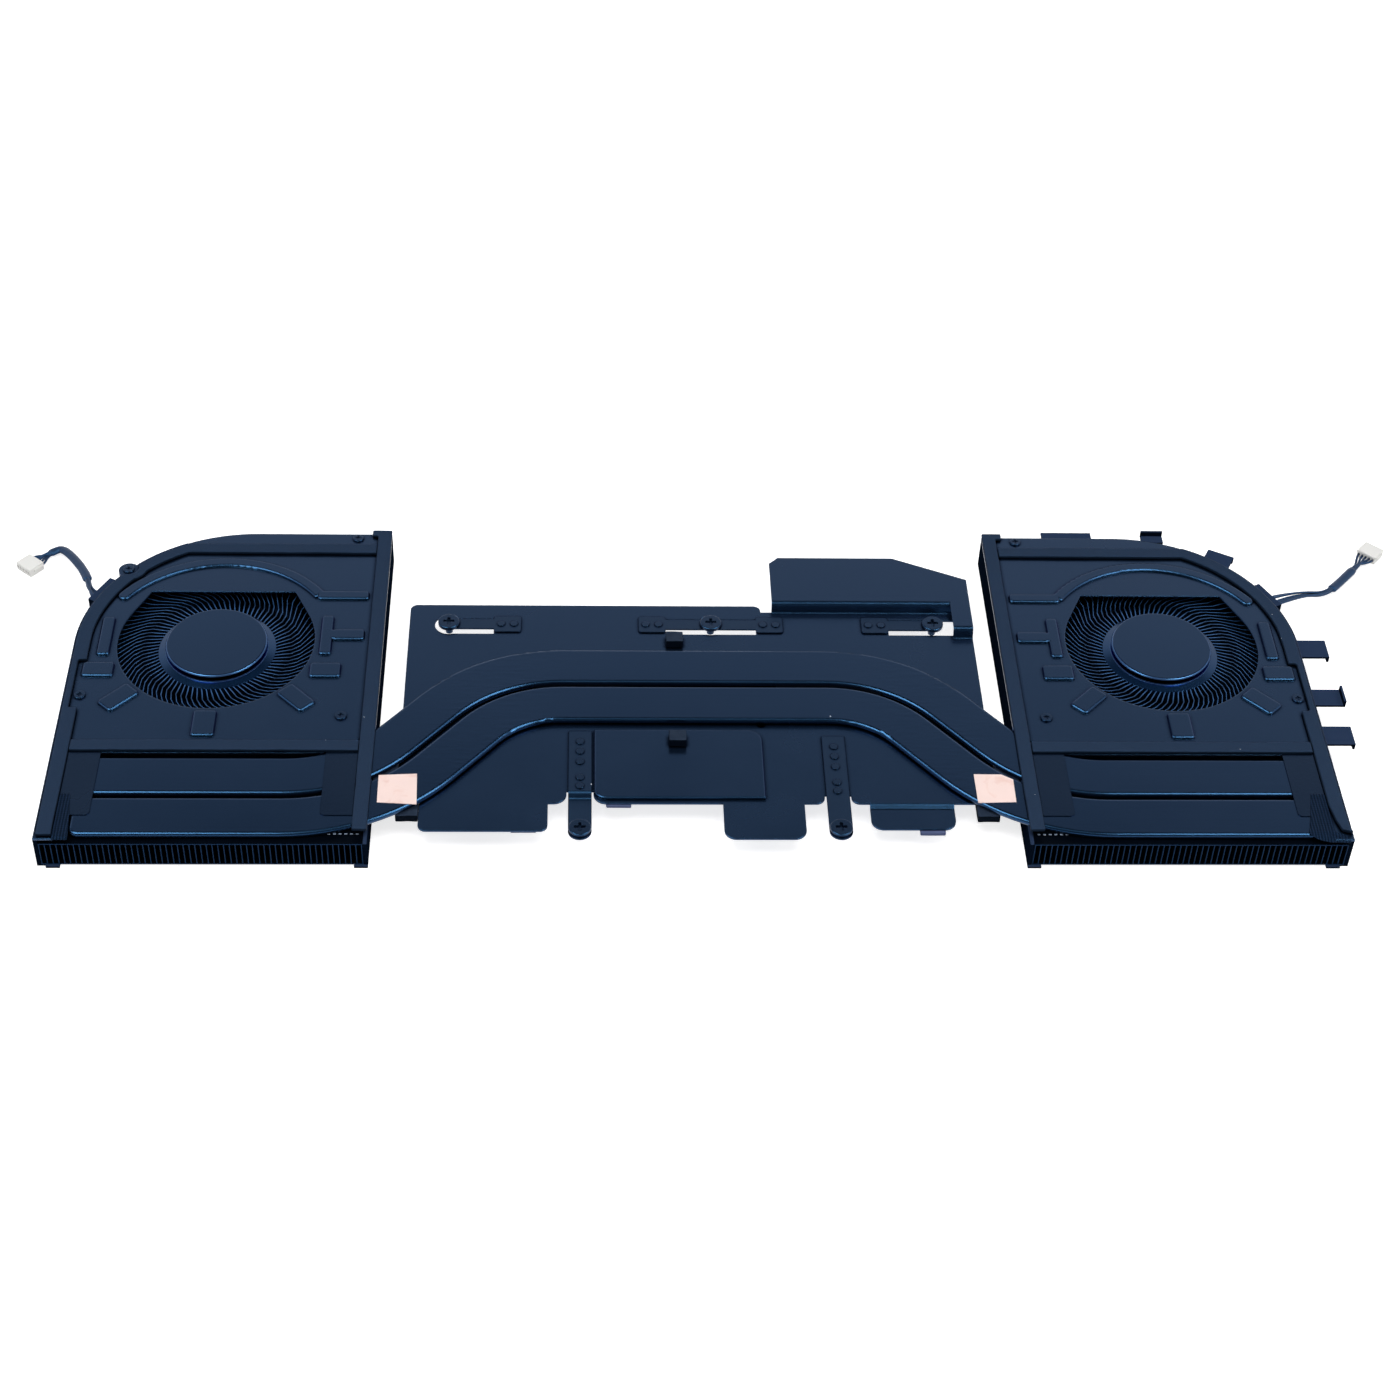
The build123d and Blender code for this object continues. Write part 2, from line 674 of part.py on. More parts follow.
def build_gaskets(side):
    strip_plane = Plane.XY.offset(cover_top_z)
    outer_radius = corner_radius - gasket_edge_inset
    inner_radius = outer_radius - gasket_width
    rear_y = fan_rear_y - gasket_rear_inset
    front_y = rear_y - gasket_width
    start_x = inner_strip_x + slip
    # Angles about the corner at which the straight rear strip runs into the arc
    outer_turn = degrees(atan2(rear_y - corner_y, sqrt(outer_radius**2 - (rear_y - corner_y) ** 2)))
    inner_turn = degrees(atan2(front_y - corner_y, sqrt(inner_radius**2 - (front_y - corner_y) ** 2)))
    with BuildPart() as rim:
        with BuildSketch(strip_plane):
            with BuildLine():
                arc_in = CenterArc((corner_x, corner_y), inner_radius, 0, inner_turn)
                arc_out = CenterArc((corner_x, corner_y), outer_radius, 0, outer_turn)
                Polyline(arc_in @ 1, (start_x, front_y), (start_x, rear_y), arc_out @ 1)
                Polyline(arc_in @ 0, (rim_strip_x, rim_front_end[side]),
                         (rim_strip_x + gasket_width, rim_front_end[side]), arc_out @ 0)
            make_face()
            notch_y = side_screw_place[1]
            panel(rim_strip_x - slip, rim_strip_x + notch_depth, notch_y - notch_front, notch_y + notch_rear,
                  Mode.SUBTRACT)
            if side == "left":
                with Locations(ear_place):
                    Circle(ear_radius + gasket_ear_width)
                casing_face(gasket_edge_inset, rim_front_end[side], mode=Mode.INTERSECT)
                with Locations(ear_place):
                    Circle(ear_radius, mode=Mode.SUBTRACT)
        extrude(amount=gasket_thickness)
    write(rim.part, f"{side}_rim_gasket", side)

    with BuildPart() as inner:
        with BuildSketch(strip_plane):
            panel(fan_inner_x, inner_strip_x, gasket_front_end, fan_rear_y)
            head_y = fan_rear_y + foot_length
            panel(fan_inner_x, fan_inner_x + gasket_head_width, head_y - gasket_head_length, head_y)
        extrude(amount=gasket_thickness)
    write(inner.part, f"{side}_inner_gasket", side)

    with BuildPart() as cross:
        with BuildSketch(strip_plane):
            cross_y = cover_front_y + slip
            panel(start_x, rim_strip_x - slip, cross_y, cross_y + gasket_width)
        extrude(amount=gasket_thickness)
    write(cross.part, f"{side}_cross_gasket", side)


def build_fins(side):
    near_x = fan_inner_x + wall_thickness + slip
    far_x = fan_outer_x - wall_thickness - slip
    pitch = (far_x - near_x - fin_thickness) / (fin_count - 1)
    with BuildPart() as fins:
        block(near_x, far_x, 0, fin_depth, floor_thickness, fin_top_z)
        with Locations(((near_x + far_x) / 2, fin_depth / 2, floor_thickness + fin_height / 2)):
            with GridLocations(pitch, 0, fin_count - 1, 1):
                Box(pitch - fin_thickness, fin_depth, fin_height - 2 * fin_thickness, mode=Mode.SUBTRACT)
    write(fins.part, f"{side}_fin_stack", side)


def build_films(side):
    outer_x = rim_strip_x - slip
    inner_x = inner_strip_x + slip
    with BuildPart() as outer_film:
        with BuildSketch(Plane.XY.offset(pipe_top_z)) as outer_plan:
            panel(outer_x - film_width, outer_x, front_bay_y, cover_front_y)
            fillet(outer_plan.vertices().group_by(Axis.Y)[0].sort_by(Axis.X)[0], film_corner)
        extrude(amount=film_thickness)
    write(outer_film.part, f"{side}_outer_film", side)

    with BuildPart() as inner_film:
        with BuildSketch(Plane.XY.offset(pipe_top_z)) as inner_plan:
            panel(inner_x, inner_x + film_width, front_bay_y, cover_front_y)
            fillet(inner_plan.vertices().group_by(Axis.Y)[0].sort_by(Axis.X)[-1], film_corner)
        extrude(amount=film_thickness)
    write(inner_film.part, f"{side}_inner_film", side)

    with BuildPart() as tape:
        with BuildSketch(Plane.XY.offset(pipe_top_z + film_thickness)):
            panel(outer_x - tape_width[side], outer_x, tape_front_y, tape_rear_y)
        extrude(amount=film_thickness)
    write(tape.part, f"{side}_mesh_tape", side)


def build_lead(side):
    # Lead bundle square from the exit block, then in straight runs and arcs to its connector
    outward = Vector(1, 0, 0).rotate(Axis.Z, exit_angle)
    start = Vector(corner_x, corner_y, lead_exit_z) + outward * (corner_radius + exit_block_depth)
    points = [start, start + outward * lead_straight]
    points += [Vector(start.X + x, start.Y + y, z) for x, y, z in lead_steps[side]]
    radii = []
    for before, here, after in zip(points, points[1:], points[2:]):
        half_turn = radians((here - before).get_angle(after - here)) / 2
        radii.append(lead_bend_share * min((here - before).length, (after - here).length) / tan(half_turn))
    with BuildPart() as lead:
        with BuildLine() as route:
            FilletPolyline(*points, radius=radii)
        with BuildSketch(Plane(start, z_dir=outward)):
            Circle(lead_diameter / 2)
        sweep(path=route.line)
    length = sum(edge.length for edge in route.edges())
    print(side, "lead radii", [round(radius, 2) for radius in radii], "length", round(length, 2),
          "volume", round(lead.part.volume, 2), "section times length", round(pi * lead_diameter**2 / 4 * length, 2))
    write(lead.part, f"{side}_lead", side)

    heading = points[-1] - points[-2]
    heading = Vector(heading.X, heading.Y, 0).normalized()
    with BuildPart() as connector:
        with Locations(Plane(points[-1] + heading * (connector_length / 2), x_dir=heading)):
            Box(connector_length, connector_width, connector_height)
    write(connector.part, f"{side}_connector", side)


def build_pipe(name, front):
    with BuildPart() as pipe:
        extrude(pipe_plan(front, pipe_width), amount=pipe_thickness)
        rims = pipe.edges().group_by(Axis.Z)
        fillet(rims[0] + rims[-1], pipe_edge_radius)
    write(pipe.part, name)


def chip_window(x, width, inset):
    # Opening over a chip, in plan
    half = width / 2 - window_margin - inset
    depth = chip_plate_depth / 2 - window_margin - inset
    return x - half, x + half, run_y - depth, run_y + depth


def build_cold_plate(name, x, width):
    with BuildPart() as chip:
        depth = chip_plate_depth / 2
        block(x - width / 2, x + width / 2, run_y - depth, run_y + depth,
              plate_bottom_z - chip_plate_thickness, plate_bottom_z)
        block(*chip_window(x, width, slip), plate_bottom_z, plate_top_z)
    write(chip.part, name)


def raised_panel_face(inset, mode=Mode.ADD):
    # Bare raised panel ahead of the pipes, in plan
    with BuildSketch(Plane.XY, mode=Mode.PRIVATE) as raised:
        panel(panel_left_x + inset, panel_right_x - inset,
              plate_front_y + panel_gap / 2 + inset, run_front_y - panel_gap - inset)
        far_corner = raised.vertices().group_by(Axis.X)[-1].sort_by(Axis.Y)[-1]
        fillet(far_corner, panel_corner - inset)
        near_corner = raised.vertices().group_by(Axis.X)[0].sort_by(Axis.Y)[0]
        fillet(near_corner, panel_near_corner - inset)
    add(raised.sketch, mode=mode)


def build_base_plate():
    flap_z = plate_middle_z + flap_rise
    ramp_end_y = ramp_y + ramp_depth
    leg_end_y = leg_y + ramp_depth
    flap_rear_y = ramp_end_y + flap_depth
    with BuildPart() as plate:
        with BuildSketch(Plane.XY.offset(plate_bottom_z)) as plan:
            round_panel(-plate_half, flap_left_x - flap_relief, step_y, run_y + plate_rear, plate_corner)
            panel(0, plate_half, step_y, leg_y)
            panel(0, strip_x + strip_lap, leg_y, ramp_y)
            panel(-waist_half, waist_half, plate_front_y, run_y)
            back_y = plate_front_y + 2 * tab_corner
            round_panel(-waist_half, left_chip_x - wing_gap, wing_front_y, back_y, plate_corner)
            round_panel(tab_left_x, tab_right_x, plate_front_y - tab_depth, back_y, tab_corner)
            # Notches under the front arms
            notches = [
                (left_chip_x - arm_width / 2 - arm_notch_gap, panel_left_x - slip, left_notch_depth),
                (right_chip_x - arm_width / 2 - arm_notch_gap, right_chip_x + arm_width / 2 + arm_notch_gap,
                 right_notch_depth),
            ]
            for x0, x1, depth in notches:
                panel(x0, x1, wing_front_y, plate_front_y + depth, Mode.SUBTRACT)
            for x0, x1, depth in notches:
                on_front = plan.vertices().filter_by(lambda corner: abs(corner.Y - plate_front_y) < fit)
                at_notch = on_front.filter_by(lambda corner: min(abs(corner.X - x0), abs(corner.X - x1)) < fit)
                fillet(at_notch, notch_round * depth)
            # Slots under the rear springs
            pad_edge = leaf_pad_length / 2
            panel(-screw_x, -pad_x - pad_edge, slot_front_y, slot_rear_y, Mode.SUBTRACT)
            panel(pad_x + pad_edge, strip_x + strip_lap, slot_front_y, slot_rear_y, Mode.SUBTRACT)
            panel(center_pads[0] + pad_edge, center_pads[1] - pad_edge, slot_front_y, slot_rear_y, Mode.SUBTRACT)
            with Locations((-screw_x, spring_y), (center_screw_x, spring_y)):
                Circle(slot_eye_radius, mode=Mode.SUBTRACT)
            panel(*chip_window(left_chip_x, left_chip_width, 0), Mode.SUBTRACT)
            panel(*chip_window(right_chip_x, right_chip_width, 0), Mode.SUBTRACT)
            with Locations(*rivet_places):
                Circle(rivet_radius + fit, mode=Mode.SUBTRACT)
        extrude(amount=plate_thickness)
        # Blind dimples beside the pipes
        dimple_places = [(-flap_left_x, run_rear_y), (flap_left_x, run_rear_y), (panel_right_x, run_front_y)]
        with Locations(*[(x, y, plate_top_z) for x, y in dimple_places]):
            Hole(dimple_radius, depth=dimple_depth)
        # Raised panel with its hollow underside
        with BuildSketch(Plane.XY.offset(plate_top_z)):
            raised_panel_face(0)
        extrude(amount=panel_rise)
        fillet(plate.edges().group_by(Axis.Z)[-1], panel_edge)
        with BuildSketch(Plane.XY.offset(plate_bottom_z)):
            raised_panel_face(plate_thickness)
        extrude(amount=panel_rise, mode=Mode.SUBTRACT)
        # Stepped flange at the right front
        low_z = plate_middle_z - flange_drop
        bent_strip(flange_left_x, flange_right_x,
                   [(plate_front_y + ramp_foot, plate_middle_z), (plate_front_y, plate_middle_z),
                    (plate_front_y - flange_ramp, low_z), (flange_front_y + tab_corner, low_z)], plate_thickness)
        with BuildSketch(Plane.XY.offset(low_z - plate_thickness / 2)):
            round_panel(flange_left_x, flange_right_x, flange_front_y, plate_front_y - flange_ramp, tab_corner)
        extrude(amount=plate_thickness)
        # Ramp, leg and raised flap at the right rear
        bent_strip(flap_left_x, strip_x + strip_lap,
                   [(ramp_y - ramp_foot, plate_middle_z), (ramp_y, plate_middle_z),
                    (ramp_end_y, flap_z), (ramp_end_y + ramp_foot, flap_z)], plate_thickness)
        bent_strip(strip_x, plate_half,
                   [(leg_y - ramp_foot, plate_middle_z), (leg_y, plate_middle_z),
                    (leg_end_y, flap_z), (leg_end_y + ramp_foot, flap_z)], plate_thickness)
        with BuildSketch(Plane.XY.offset(flap_z - plate_thickness / 2)):
            with BuildLine():
                Polyline(
                    (flap_left_x, ramp_end_y + ramp_foot / 2),
                    (flap_left_x, flap_rear_y - flap_corner),
                    (flap_left_x + flap_corner, flap_rear_y),
                    (plate_half - flap_slope_x, flap_rear_y),
                    (plate_half, flap_rear_y - flap_slope_y),
                    (plate_half, leg_end_y + ramp_foot / 2),
                    (strip_x, leg_end_y + ramp_foot / 2),
                    (strip_x, ramp_end_y + ramp_foot / 2),
                    close=True,
                )
            make_face()
        extrude(amount=plate_thickness)
    write(plate.part, "base_plate")


def build_rear_spring(name, eye_x, pads):
    with BuildPart() as spring:
        with BuildSketch(Plane.XY.offset(plate_top_z)):
            for pad in pads:
                panel(min(pad, eye_x), max(pad, eye_x), spring_y - leaf_width / 2, spring_y + leaf_width / 2)
                with Locations((pad, spring_y)):
                    RectangleRounded(leaf_pad_length, leaf_pad_width, leaf_pad_corner)
                with Locations((pad - rivet_pitch / 2, spring_y), (pad + rivet_pitch / 2, spring_y)):
                    Circle(rivet_radius + fit, mode=Mode.SUBTRACT)
            with Locations((eye_x, spring_y)):
                Circle(leaf_end_radius)
                Circle(captive_neck_radius + slip, mode=Mode.SUBTRACT)
        extrude(amount=spring_thickness)
    write(spring.part, name)


def build_front_arm(name, x, front_y, rear_y, drop):
    middle_z = plate_top_z + spring_thickness / 2
    end_y = front_y + arm_width / 2
    joggle_y = plate_front_y + left_notch_depth - arm_bend_clear
    with BuildPart() as arm:
        if drop:
            bent_strip(x - arm_width / 2, x + arm_width / 2,
                       [(rear_y, middle_z), (joggle_y, middle_z), (joggle_y - arm_joggle, middle_z - drop),
                        (end_y, middle_z - drop)], spring_thickness)
        else:
            block(x - arm_width / 2, x + arm_width / 2, end_y, rear_y, plate_top_z, spring_top_z)
        with Locations((x, end_y, middle_z - drop)):
            Cylinder(arm_width / 2, spring_thickness)
        with Locations((x, front_y + arm_screw_to_end, spring_top_z)):
            Hole(captive_neck_radius + slip)
        with Locations(*[(x, rear_y - step, spring_top_z) for step in rivet_steps]):
            Hole(rivet_radius + fit)
    write(arm.part, name)


def build_fasteners():
    with BuildPart() as rivets:
        with BuildSketch(Plane.XY.offset(spring_top_z)):
            with Locations(*rivet_places):
                Circle(rivet_head_radius)
        extrude(amount=rivet_head_height)
        with BuildSketch(Plane.XY.offset(spring_top_z)):
            with Locations(*rivet_places):
                Circle(rivet_radius)
        extrude(amount=-spring_thickness - plate_thickness)
    write(rivets.part, "spring_rivets")

    screw = make_screw(captive_head_radius, captive_head_height, captive_thread_radius, captive_thread_length,
                       captive_neck_radius, captive_neck_length)
    with BuildPart() as captive:
        with Locations(
            (-screw_x, spring_y, spring_top_z),
            (center_screw_x, spring_y, spring_top_z),
            (screw_x, spring_y, spring_top_z),
            (left_chip_x, left_arm_front_y + arm_screw_to_end, spring_top_z - arm_drop),
            (right_chip_x, right_arm_front_y + arm_screw_to_end, spring_top_z),
        ):
            add(screw)
    write(captive.part, "captive_screws")


def build_soft_parts():
    near_x = foam_x - foam_width / 2
    far_x = foam_x + foam_width / 2
    with BuildPart() as rear_foam:
        foam_y = run_rear_y + foam_gap
        block(near_x, far_x, foam_y, foam_y + foam_depth, plate_top_z, plate_top_z + foam_height)
    write(rear_foam.part, "rear_foam_block")

    with BuildPart() as front_foam:
        foam_y = run_front_y - 2 * foam_gap
        foam_z = plate_top_z + panel_rise
        block(near_x, far_x, foam_y - foam_depth, foam_y, foam_z, foam_z + foam_height)
    write(front_foam.part, "front_foam_block")

    # Copper foils on the front pipe's bends, as inset from the casing and y
    foil_corners = {
        "left": [(1.8, 22.5), (11.5, 23.0), (11.9, 12.1), (1.9, 12.8)],
        "right": [(12.2, 23.2), (5.1, 23.1), (2.2, 21.3), (2.3, 13.2), (12.1, 12.9)],
    }
    for side, corners in foil_corners.items():
        with BuildPart() as foil:
            with BuildSketch(Plane.XY.offset(pipe_top_z)):
                Polygon(*[(fan_inner_x - inset, y) for inset, y in corners], align=None)
            extrude(amount=foil_thickness)
        write(foil.part, f"{side}_copper_foil", side)

    with BuildPart() as pads:
        lip_x = panel_left_x + panel_near_corner
        wing_x = left_chip_x - wing_gap - 2 * pad_inset
        flange_x = flange_right_x - 2 * pad_inset
        flange_z = plate_bottom_z - flange_drop
        block(lip_x, lip_x + pad_width, plate_front_y - lip_pad_reach, plate_front_y + panel_gap / 2,
              plate_bottom_z - pad_thickness, plate_bottom_z)
        block(wing_x - pad_width, wing_x, wing_front_y + wing_pad_inset, plate_front_y,
              plate_bottom_z - pad_thickness, plate_bottom_z)
        block(flange_x - pad_width, flange_x, flange_front_y - flange_pad_reach, plate_front_y - 2 * flange_ramp,
              flange_z - pad_thickness, flange_z)
    write(pads.part, "thermal_pads")

    # Under the pipes: a block in each front corner of the plate, and a bridge from the plate to each fan
    with BuildPart() as supports:
        support_z = fin_top_z - support_height
        bridge_x0 = plate_half + slip
        bridge_x1 = fan_inner_x - slip
        for x0, x1 in ((-plate_half, -waist_half - slip), (waist_half + slip, plate_half)):
            block(x0, x1, step_y - slip - support_depth, step_y - slip, support_z, fin_top_z)
        for x0, x1 in ((-bridge_x1, -bridge_x0), (bridge_x0, bridge_x1)):
            block(x0, x1, step_y, step_y + bridge_depth, support_z, fin_top_z)
    write(supports.part, "pipe_supports")


for fan_side in ("left", "right"):
    build_fan_base(fan_side)
    build_fan_cover(fan_side)
    build_cover_screws(fan_side)
    build_impeller(fan_side)
    build_motor(fan_side)
    build_gaskets(fan_side)
    build_fins(fan_side)
    build_films(fan_side)
    build_lead(fan_side)

build_pipe("front_heat_pipe", True)
build_pipe("rear_heat_pipe", False)
build_cold_plate("left_cold_plate", left_chip_x, left_chip_width)
build_cold_plate("right_cold_plate", right_chip_x, right_chip_width)
build_base_plate()
build_rear_spring("left_rear_spring", -screw_x, [-pad_x])
build_rear_spring("center_rear_spring", center_screw_x, center_pads)
build_rear_spring("right_rear_spring", screw_x, [pad_x])
build_front_arm("left_front_arm", left_chip_x, left_arm_front_y, left_arm_rear_y, arm_drop)
build_front_arm("right_front_arm", right_chip_x, right_arm_front_y, right_arm_rear_y, 0)
build_fasteners()
build_soft_parts()
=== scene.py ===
import bpy
import bmesh
import json
import math
from mathutils import Matrix, Vector, noise


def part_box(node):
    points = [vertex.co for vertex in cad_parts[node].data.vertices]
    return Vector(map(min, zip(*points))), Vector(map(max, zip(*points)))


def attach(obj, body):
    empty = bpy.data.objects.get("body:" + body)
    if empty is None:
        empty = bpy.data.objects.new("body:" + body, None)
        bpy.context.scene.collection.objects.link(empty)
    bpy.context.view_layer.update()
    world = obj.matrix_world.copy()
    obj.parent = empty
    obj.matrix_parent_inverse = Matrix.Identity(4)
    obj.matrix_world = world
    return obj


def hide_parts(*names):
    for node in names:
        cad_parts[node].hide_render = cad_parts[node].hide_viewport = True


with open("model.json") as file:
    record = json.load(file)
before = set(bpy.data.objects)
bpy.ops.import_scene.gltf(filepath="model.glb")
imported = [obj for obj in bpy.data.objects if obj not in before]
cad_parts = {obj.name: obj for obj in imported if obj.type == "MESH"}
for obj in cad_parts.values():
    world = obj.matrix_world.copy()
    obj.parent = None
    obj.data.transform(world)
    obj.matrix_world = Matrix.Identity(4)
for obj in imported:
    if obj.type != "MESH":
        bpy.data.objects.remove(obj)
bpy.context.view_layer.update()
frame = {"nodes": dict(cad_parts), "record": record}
nodes = frame["nodes"]
scene = bpy.context.scene
mm = 0.001
print("frame loaded:", len(nodes), "nodes")

# small helpers for nodes and meshes


def place(tree, kind, sockets=None, **settings):
    node = tree.nodes.new("ShaderNode" + kind)
    for key, value in settings.items():
        setattr(node, key, value)
    for key, value in (sockets or {}).items():
        if isinstance(value, bpy.types.NodeSocket):
            tree.links.new(value, node.inputs[key])
        else:
            node.inputs[key].default_value = value
    return node


def sums(tree, operation, first, second=0.0):
    return place(tree, "Math", {0: first, 1: second}, operation=operation).outputs[0]


def product(tree, first, second):
    return sums(tree, "MULTIPLY", first, second)


def between(tree, value, low, high):
    return product(tree, sums(tree, "GREATER_THAN", value, low), sums(tree, "LESS_THAN", value, high))


def spanned(tree, value, low, high, lowTo, highTo):
    return place(tree, "MapRange", {"Value": value, "From Min": low, "From Max": high,
                                    "To Min": lowTo, "To Max": highTo}).outputs["Result"]


def mixColor(tree, share, first, second):
    node = place(tree, "Mix", {0: share}, data_type="RGBA")
    for index, value in ((6, first), (7, second)):  # the colour sockets of a mix node
        if isinstance(value, bpy.types.NodeSocket):
            tree.links.new(value, node.inputs[index])
        else:
            node.inputs[index].default_value = (*value, 1)
    return node.outputs[2]


def objectPlace(tree):
    return place(tree, "TexCoord").outputs["Object"]


def objectAxes(tree):
    return place(tree, "SeparateXYZ", {0: objectPlace(tree)}).outputs


def trueFacing(tree):
    return place(tree, "NewGeometry").outputs["True Normal"]


def facingAxes(tree):
    return place(tree, "SeparateXYZ", {0: trueFacing(tree)}).outputs


def upShare(tree):
    return facingAxes(tree)["Z"]


def startGroup(name, inputs, outputs):
    group = bpy.data.node_groups.new(name, "ShaderNodeTree")
    for label, value in inputs.items():
        socket = group.interface.new_socket(label, in_out="INPUT", socket_type="NodeSocketFloat")
        socket.default_value = value
    for label in outputs:
        group.interface.new_socket(label, in_out="OUTPUT", socket_type="NodeSocketFloat")
    return group, group.nodes.new("NodeGroupInput"), group.nodes.new("NodeGroupOutput")


def useGroup(tree, group, values):
    node = place(tree, "Group", node_tree=group)
    for key, value in values.items():
        node.inputs[key].default_value = value
    return node


def addObject(name, mesh, material):
    piece = bpy.data.objects.new(name, mesh)
    scene.collection.objects.link(piece)
    piece.data.materials.clear()
    piece.data.materials.append(material)
    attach(piece, "frame")
    return piece


# shared surface effects

grainLook = {"scale": 3500.0, "fineDetail": 2.0, "broadShare": 0.016, "broadDetail": 4.0}


def buildSatinGrain():
    look = grainLook
    group, inside, outside = startGroup("satinGrain", {"Scale": look["scale"]}, ["Height", "Tone"])
    where = objectPlace(group)
    fine = place(group, "TexNoise", {"Vector": where, "Scale": inside.outputs["Scale"],
                                     "Detail": look["fineDetail"]})
    broadScale = product(group, inside.outputs["Scale"], look["broadShare"])
    broad = place(group, "TexNoise", {"Vector": where, "Scale": broadScale, "Detail": look["broadDetail"]})
    group.links.new(fine.outputs[0], outside.inputs["Height"])
    group.links.new(broad.outputs[0], outside.inputs["Tone"])
    return group


dustLook = {"scale": 160.0, "share": 0.05, "size": 0.05, "ragScale": 2500.0, "rag": 0.0004}


def buildDustSpecks():
    look = dustLook
    group, inside, outside = startGroup(
        "dustSpecks", {"Scale": look["scale"], "Share": look["share"], "Size": look["size"]}, ["Mask"])
    where = objectPlace(group)
    bent = place(group, "TexNoise", {"Vector": where, "Scale": look["ragScale"]})
    shifted = place(group, "VectorMath", {0: bent.outputs["Color"], 1: (look["rag"],) * 3},
                    operation="MULTIPLY").outputs[0]
    wobble = place(group, "VectorMath", {0: where, 1: shifted}, operation="ADD").outputs[0]
    cells = place(group, "TexVoronoi", {"Vector": wobble, "Scale": inside.outputs["Scale"]})
    parts = place(group, "SeparateColor", {0: cells.outputs["Color"]})
    kept = sums(group, "LESS_THAN", parts.outputs[0], inside.outputs["Share"])
    reach = product(group, parts.outputs[1], inside.outputs["Size"])
    near = sums(group, "LESS_THAN", cells.outputs["Distance"], reach)
    group.links.new(product(group, kept, near), outside.inputs["Mask"])
    return group


poreLook = {"scale": 3000.0, "patchScale": 260.0, "patchDetail": 5.0, "patchRough": 0.65}


def buildFoamPores():
    look = poreLook
    group, inside, outside = startGroup("foamPores", {"Scale": look["scale"]}, ["Height", "Tone"])
    where = objectPlace(group)
    cells = place(group, "TexVoronoi", {"Vector": where, "Scale": inside.outputs["Scale"]})
    patch = place(group, "TexNoise", {"Vector": where, "Scale": look["patchScale"],
                                      "Detail": look["patchDetail"], "Roughness": look["patchRough"]})
    group.links.new(cells.outputs["Distance"], outside.inputs["Height"])
    group.links.new(patch.outputs[0], outside.inputs["Tone"])
    return group


bendLook = {"from": 0.03, "full": 0.05, "fade": 0.065, "to": 0.085, "turn": 0.6, "stretch": (1.0, 6.0, 1.0),
            "scale": 190.0, "detail": 3.0, "ridge": (0.45, 0.62)}


def buildBendCreases():
    # fine creases across the pipes, only at the bends
    look = bendLook
    group, inside, outside = startGroup("bendCreases", {"From": look["from"], "To": look["to"]}, ["Height"])
    stretched = place(group, "Mapping", {"Vector": objectPlace(group), "Rotation": (0, 0, look["turn"]),
                                         "Scale": look["stretch"]})
    lines = place(group, "TexNoise", {"Vector": stretched.outputs[0], "Scale": look["scale"],
                                      "Detail": look["detail"]})
    outwards = sums(group, "ABSOLUTE", objectAxes(group)["X"])
    rise = spanned(group, outwards, inside.outputs["From"], look["full"], 0.0, 1.0)
    fall = spanned(group, outwards, look["fade"], inside.outputs["To"], 1.0, 0.0)
    ridge = spanned(group, lines.outputs[0], *look["ridge"], 0.0, 1.0)
    group.links.new(product(group, product(group, rise, fall), ridge), outside.inputs["Height"])
    return group


drawnLook = {"scale": 1500.0, "detail": 2.0, "stretch": (0.02, 1.0, 1.0)}


def buildDrawnLines():
    # faint lines left by rolling the sheet and drawing the pipes
    look = drawnLook
    group, inside, outside = startGroup("drawnLines", {"Scale": look["scale"]}, ["Height"])
    stretched = place(group, "Mapping", {"Vector": objectPlace(group), "Scale": look["stretch"]})
    lines = place(group, "TexNoise", {"Vector": stretched.outputs[0], "Scale": inside.outputs["Scale"],
                                      "Detail": look["detail"]})
    group.links.new(lines.outputs[0], outside.inputs["Height"])
    return group


satinGrain = buildSatinGrain()
dustSpecks = buildDustSpecks()
foamPores = buildFoamPores()
bendCreases = buildBendCreases()
drawnLines = buildDrawnLines()
print("surface groups ready")


# where a coat is paler or darker than elsewhere: painted highlights, painted shade, and bare metal under the
# paint

fanAxles = sorted(joint["pos_m"] for joint in frame["record"]["behaviour"]["joints"])  # left, then right
hubPlace = {"middle": (fanAxles[0][0] + fanAxles[1][0]) / 2, "across": (fanAxles[1][0] - fanAxles[0][0]) / 2,
            "along": fanAxles[0][1]}
maskLook = {
    "bladeBend": 0.0198, "bendReach": (0.0004, 0.0022), "bendTone": 0.35, "bladeUp": 0.7,
    "wallUp": 0.25, "pitUp": 0.95, "topUp": (0.5, 0.9),
    "rimFlat": (0.80, 0.985), "slopeUp": (0.80, 0.97), "slopeLeast": 0.05, "slopeFront": -0.3,
    "creaseOpen": (0.60, 0.92), "most": 0.9, "samples": 6,
}


def hubRadius(tree):
    axes = objectAxes(tree)
    outwards = sums(tree, "ABSOLUTE", sums(tree, "SUBTRACT", axes["X"], hubPlace["middle"]))
    across = sums(tree, "SUBTRACT", outwards, hubPlace["across"])
    along = sums(tree, "SUBTRACT", axes["Y"], hubPlace["along"])
    squared = sums(tree, "ADD", product(tree, across, across), product(tree, along, along))
    return sums(tree, "POWER", squared, 0.5)


# painted highlight on the thin blade tops facing up, with a painted shade band where the blades bend
def bladeTopGlint(tree, radius, fromRadius):
    fromBend = sums(tree, "ABSOLUTE", sums(tree, "SUBTRACT", radius, maskLook["bladeBend"]))
    lit = spanned(tree, fromBend, *maskLook["bendReach"], maskLook["bendTone"], 1.0)  # painted shade where the blades bend
    beyond = product(tree, sums(tree, "GREATER_THAN", radius, fromRadius), lit)
    return product(tree, beyond, sums(tree, "GREATER_THAN", upShare(tree), maskLook["bladeUp"]))


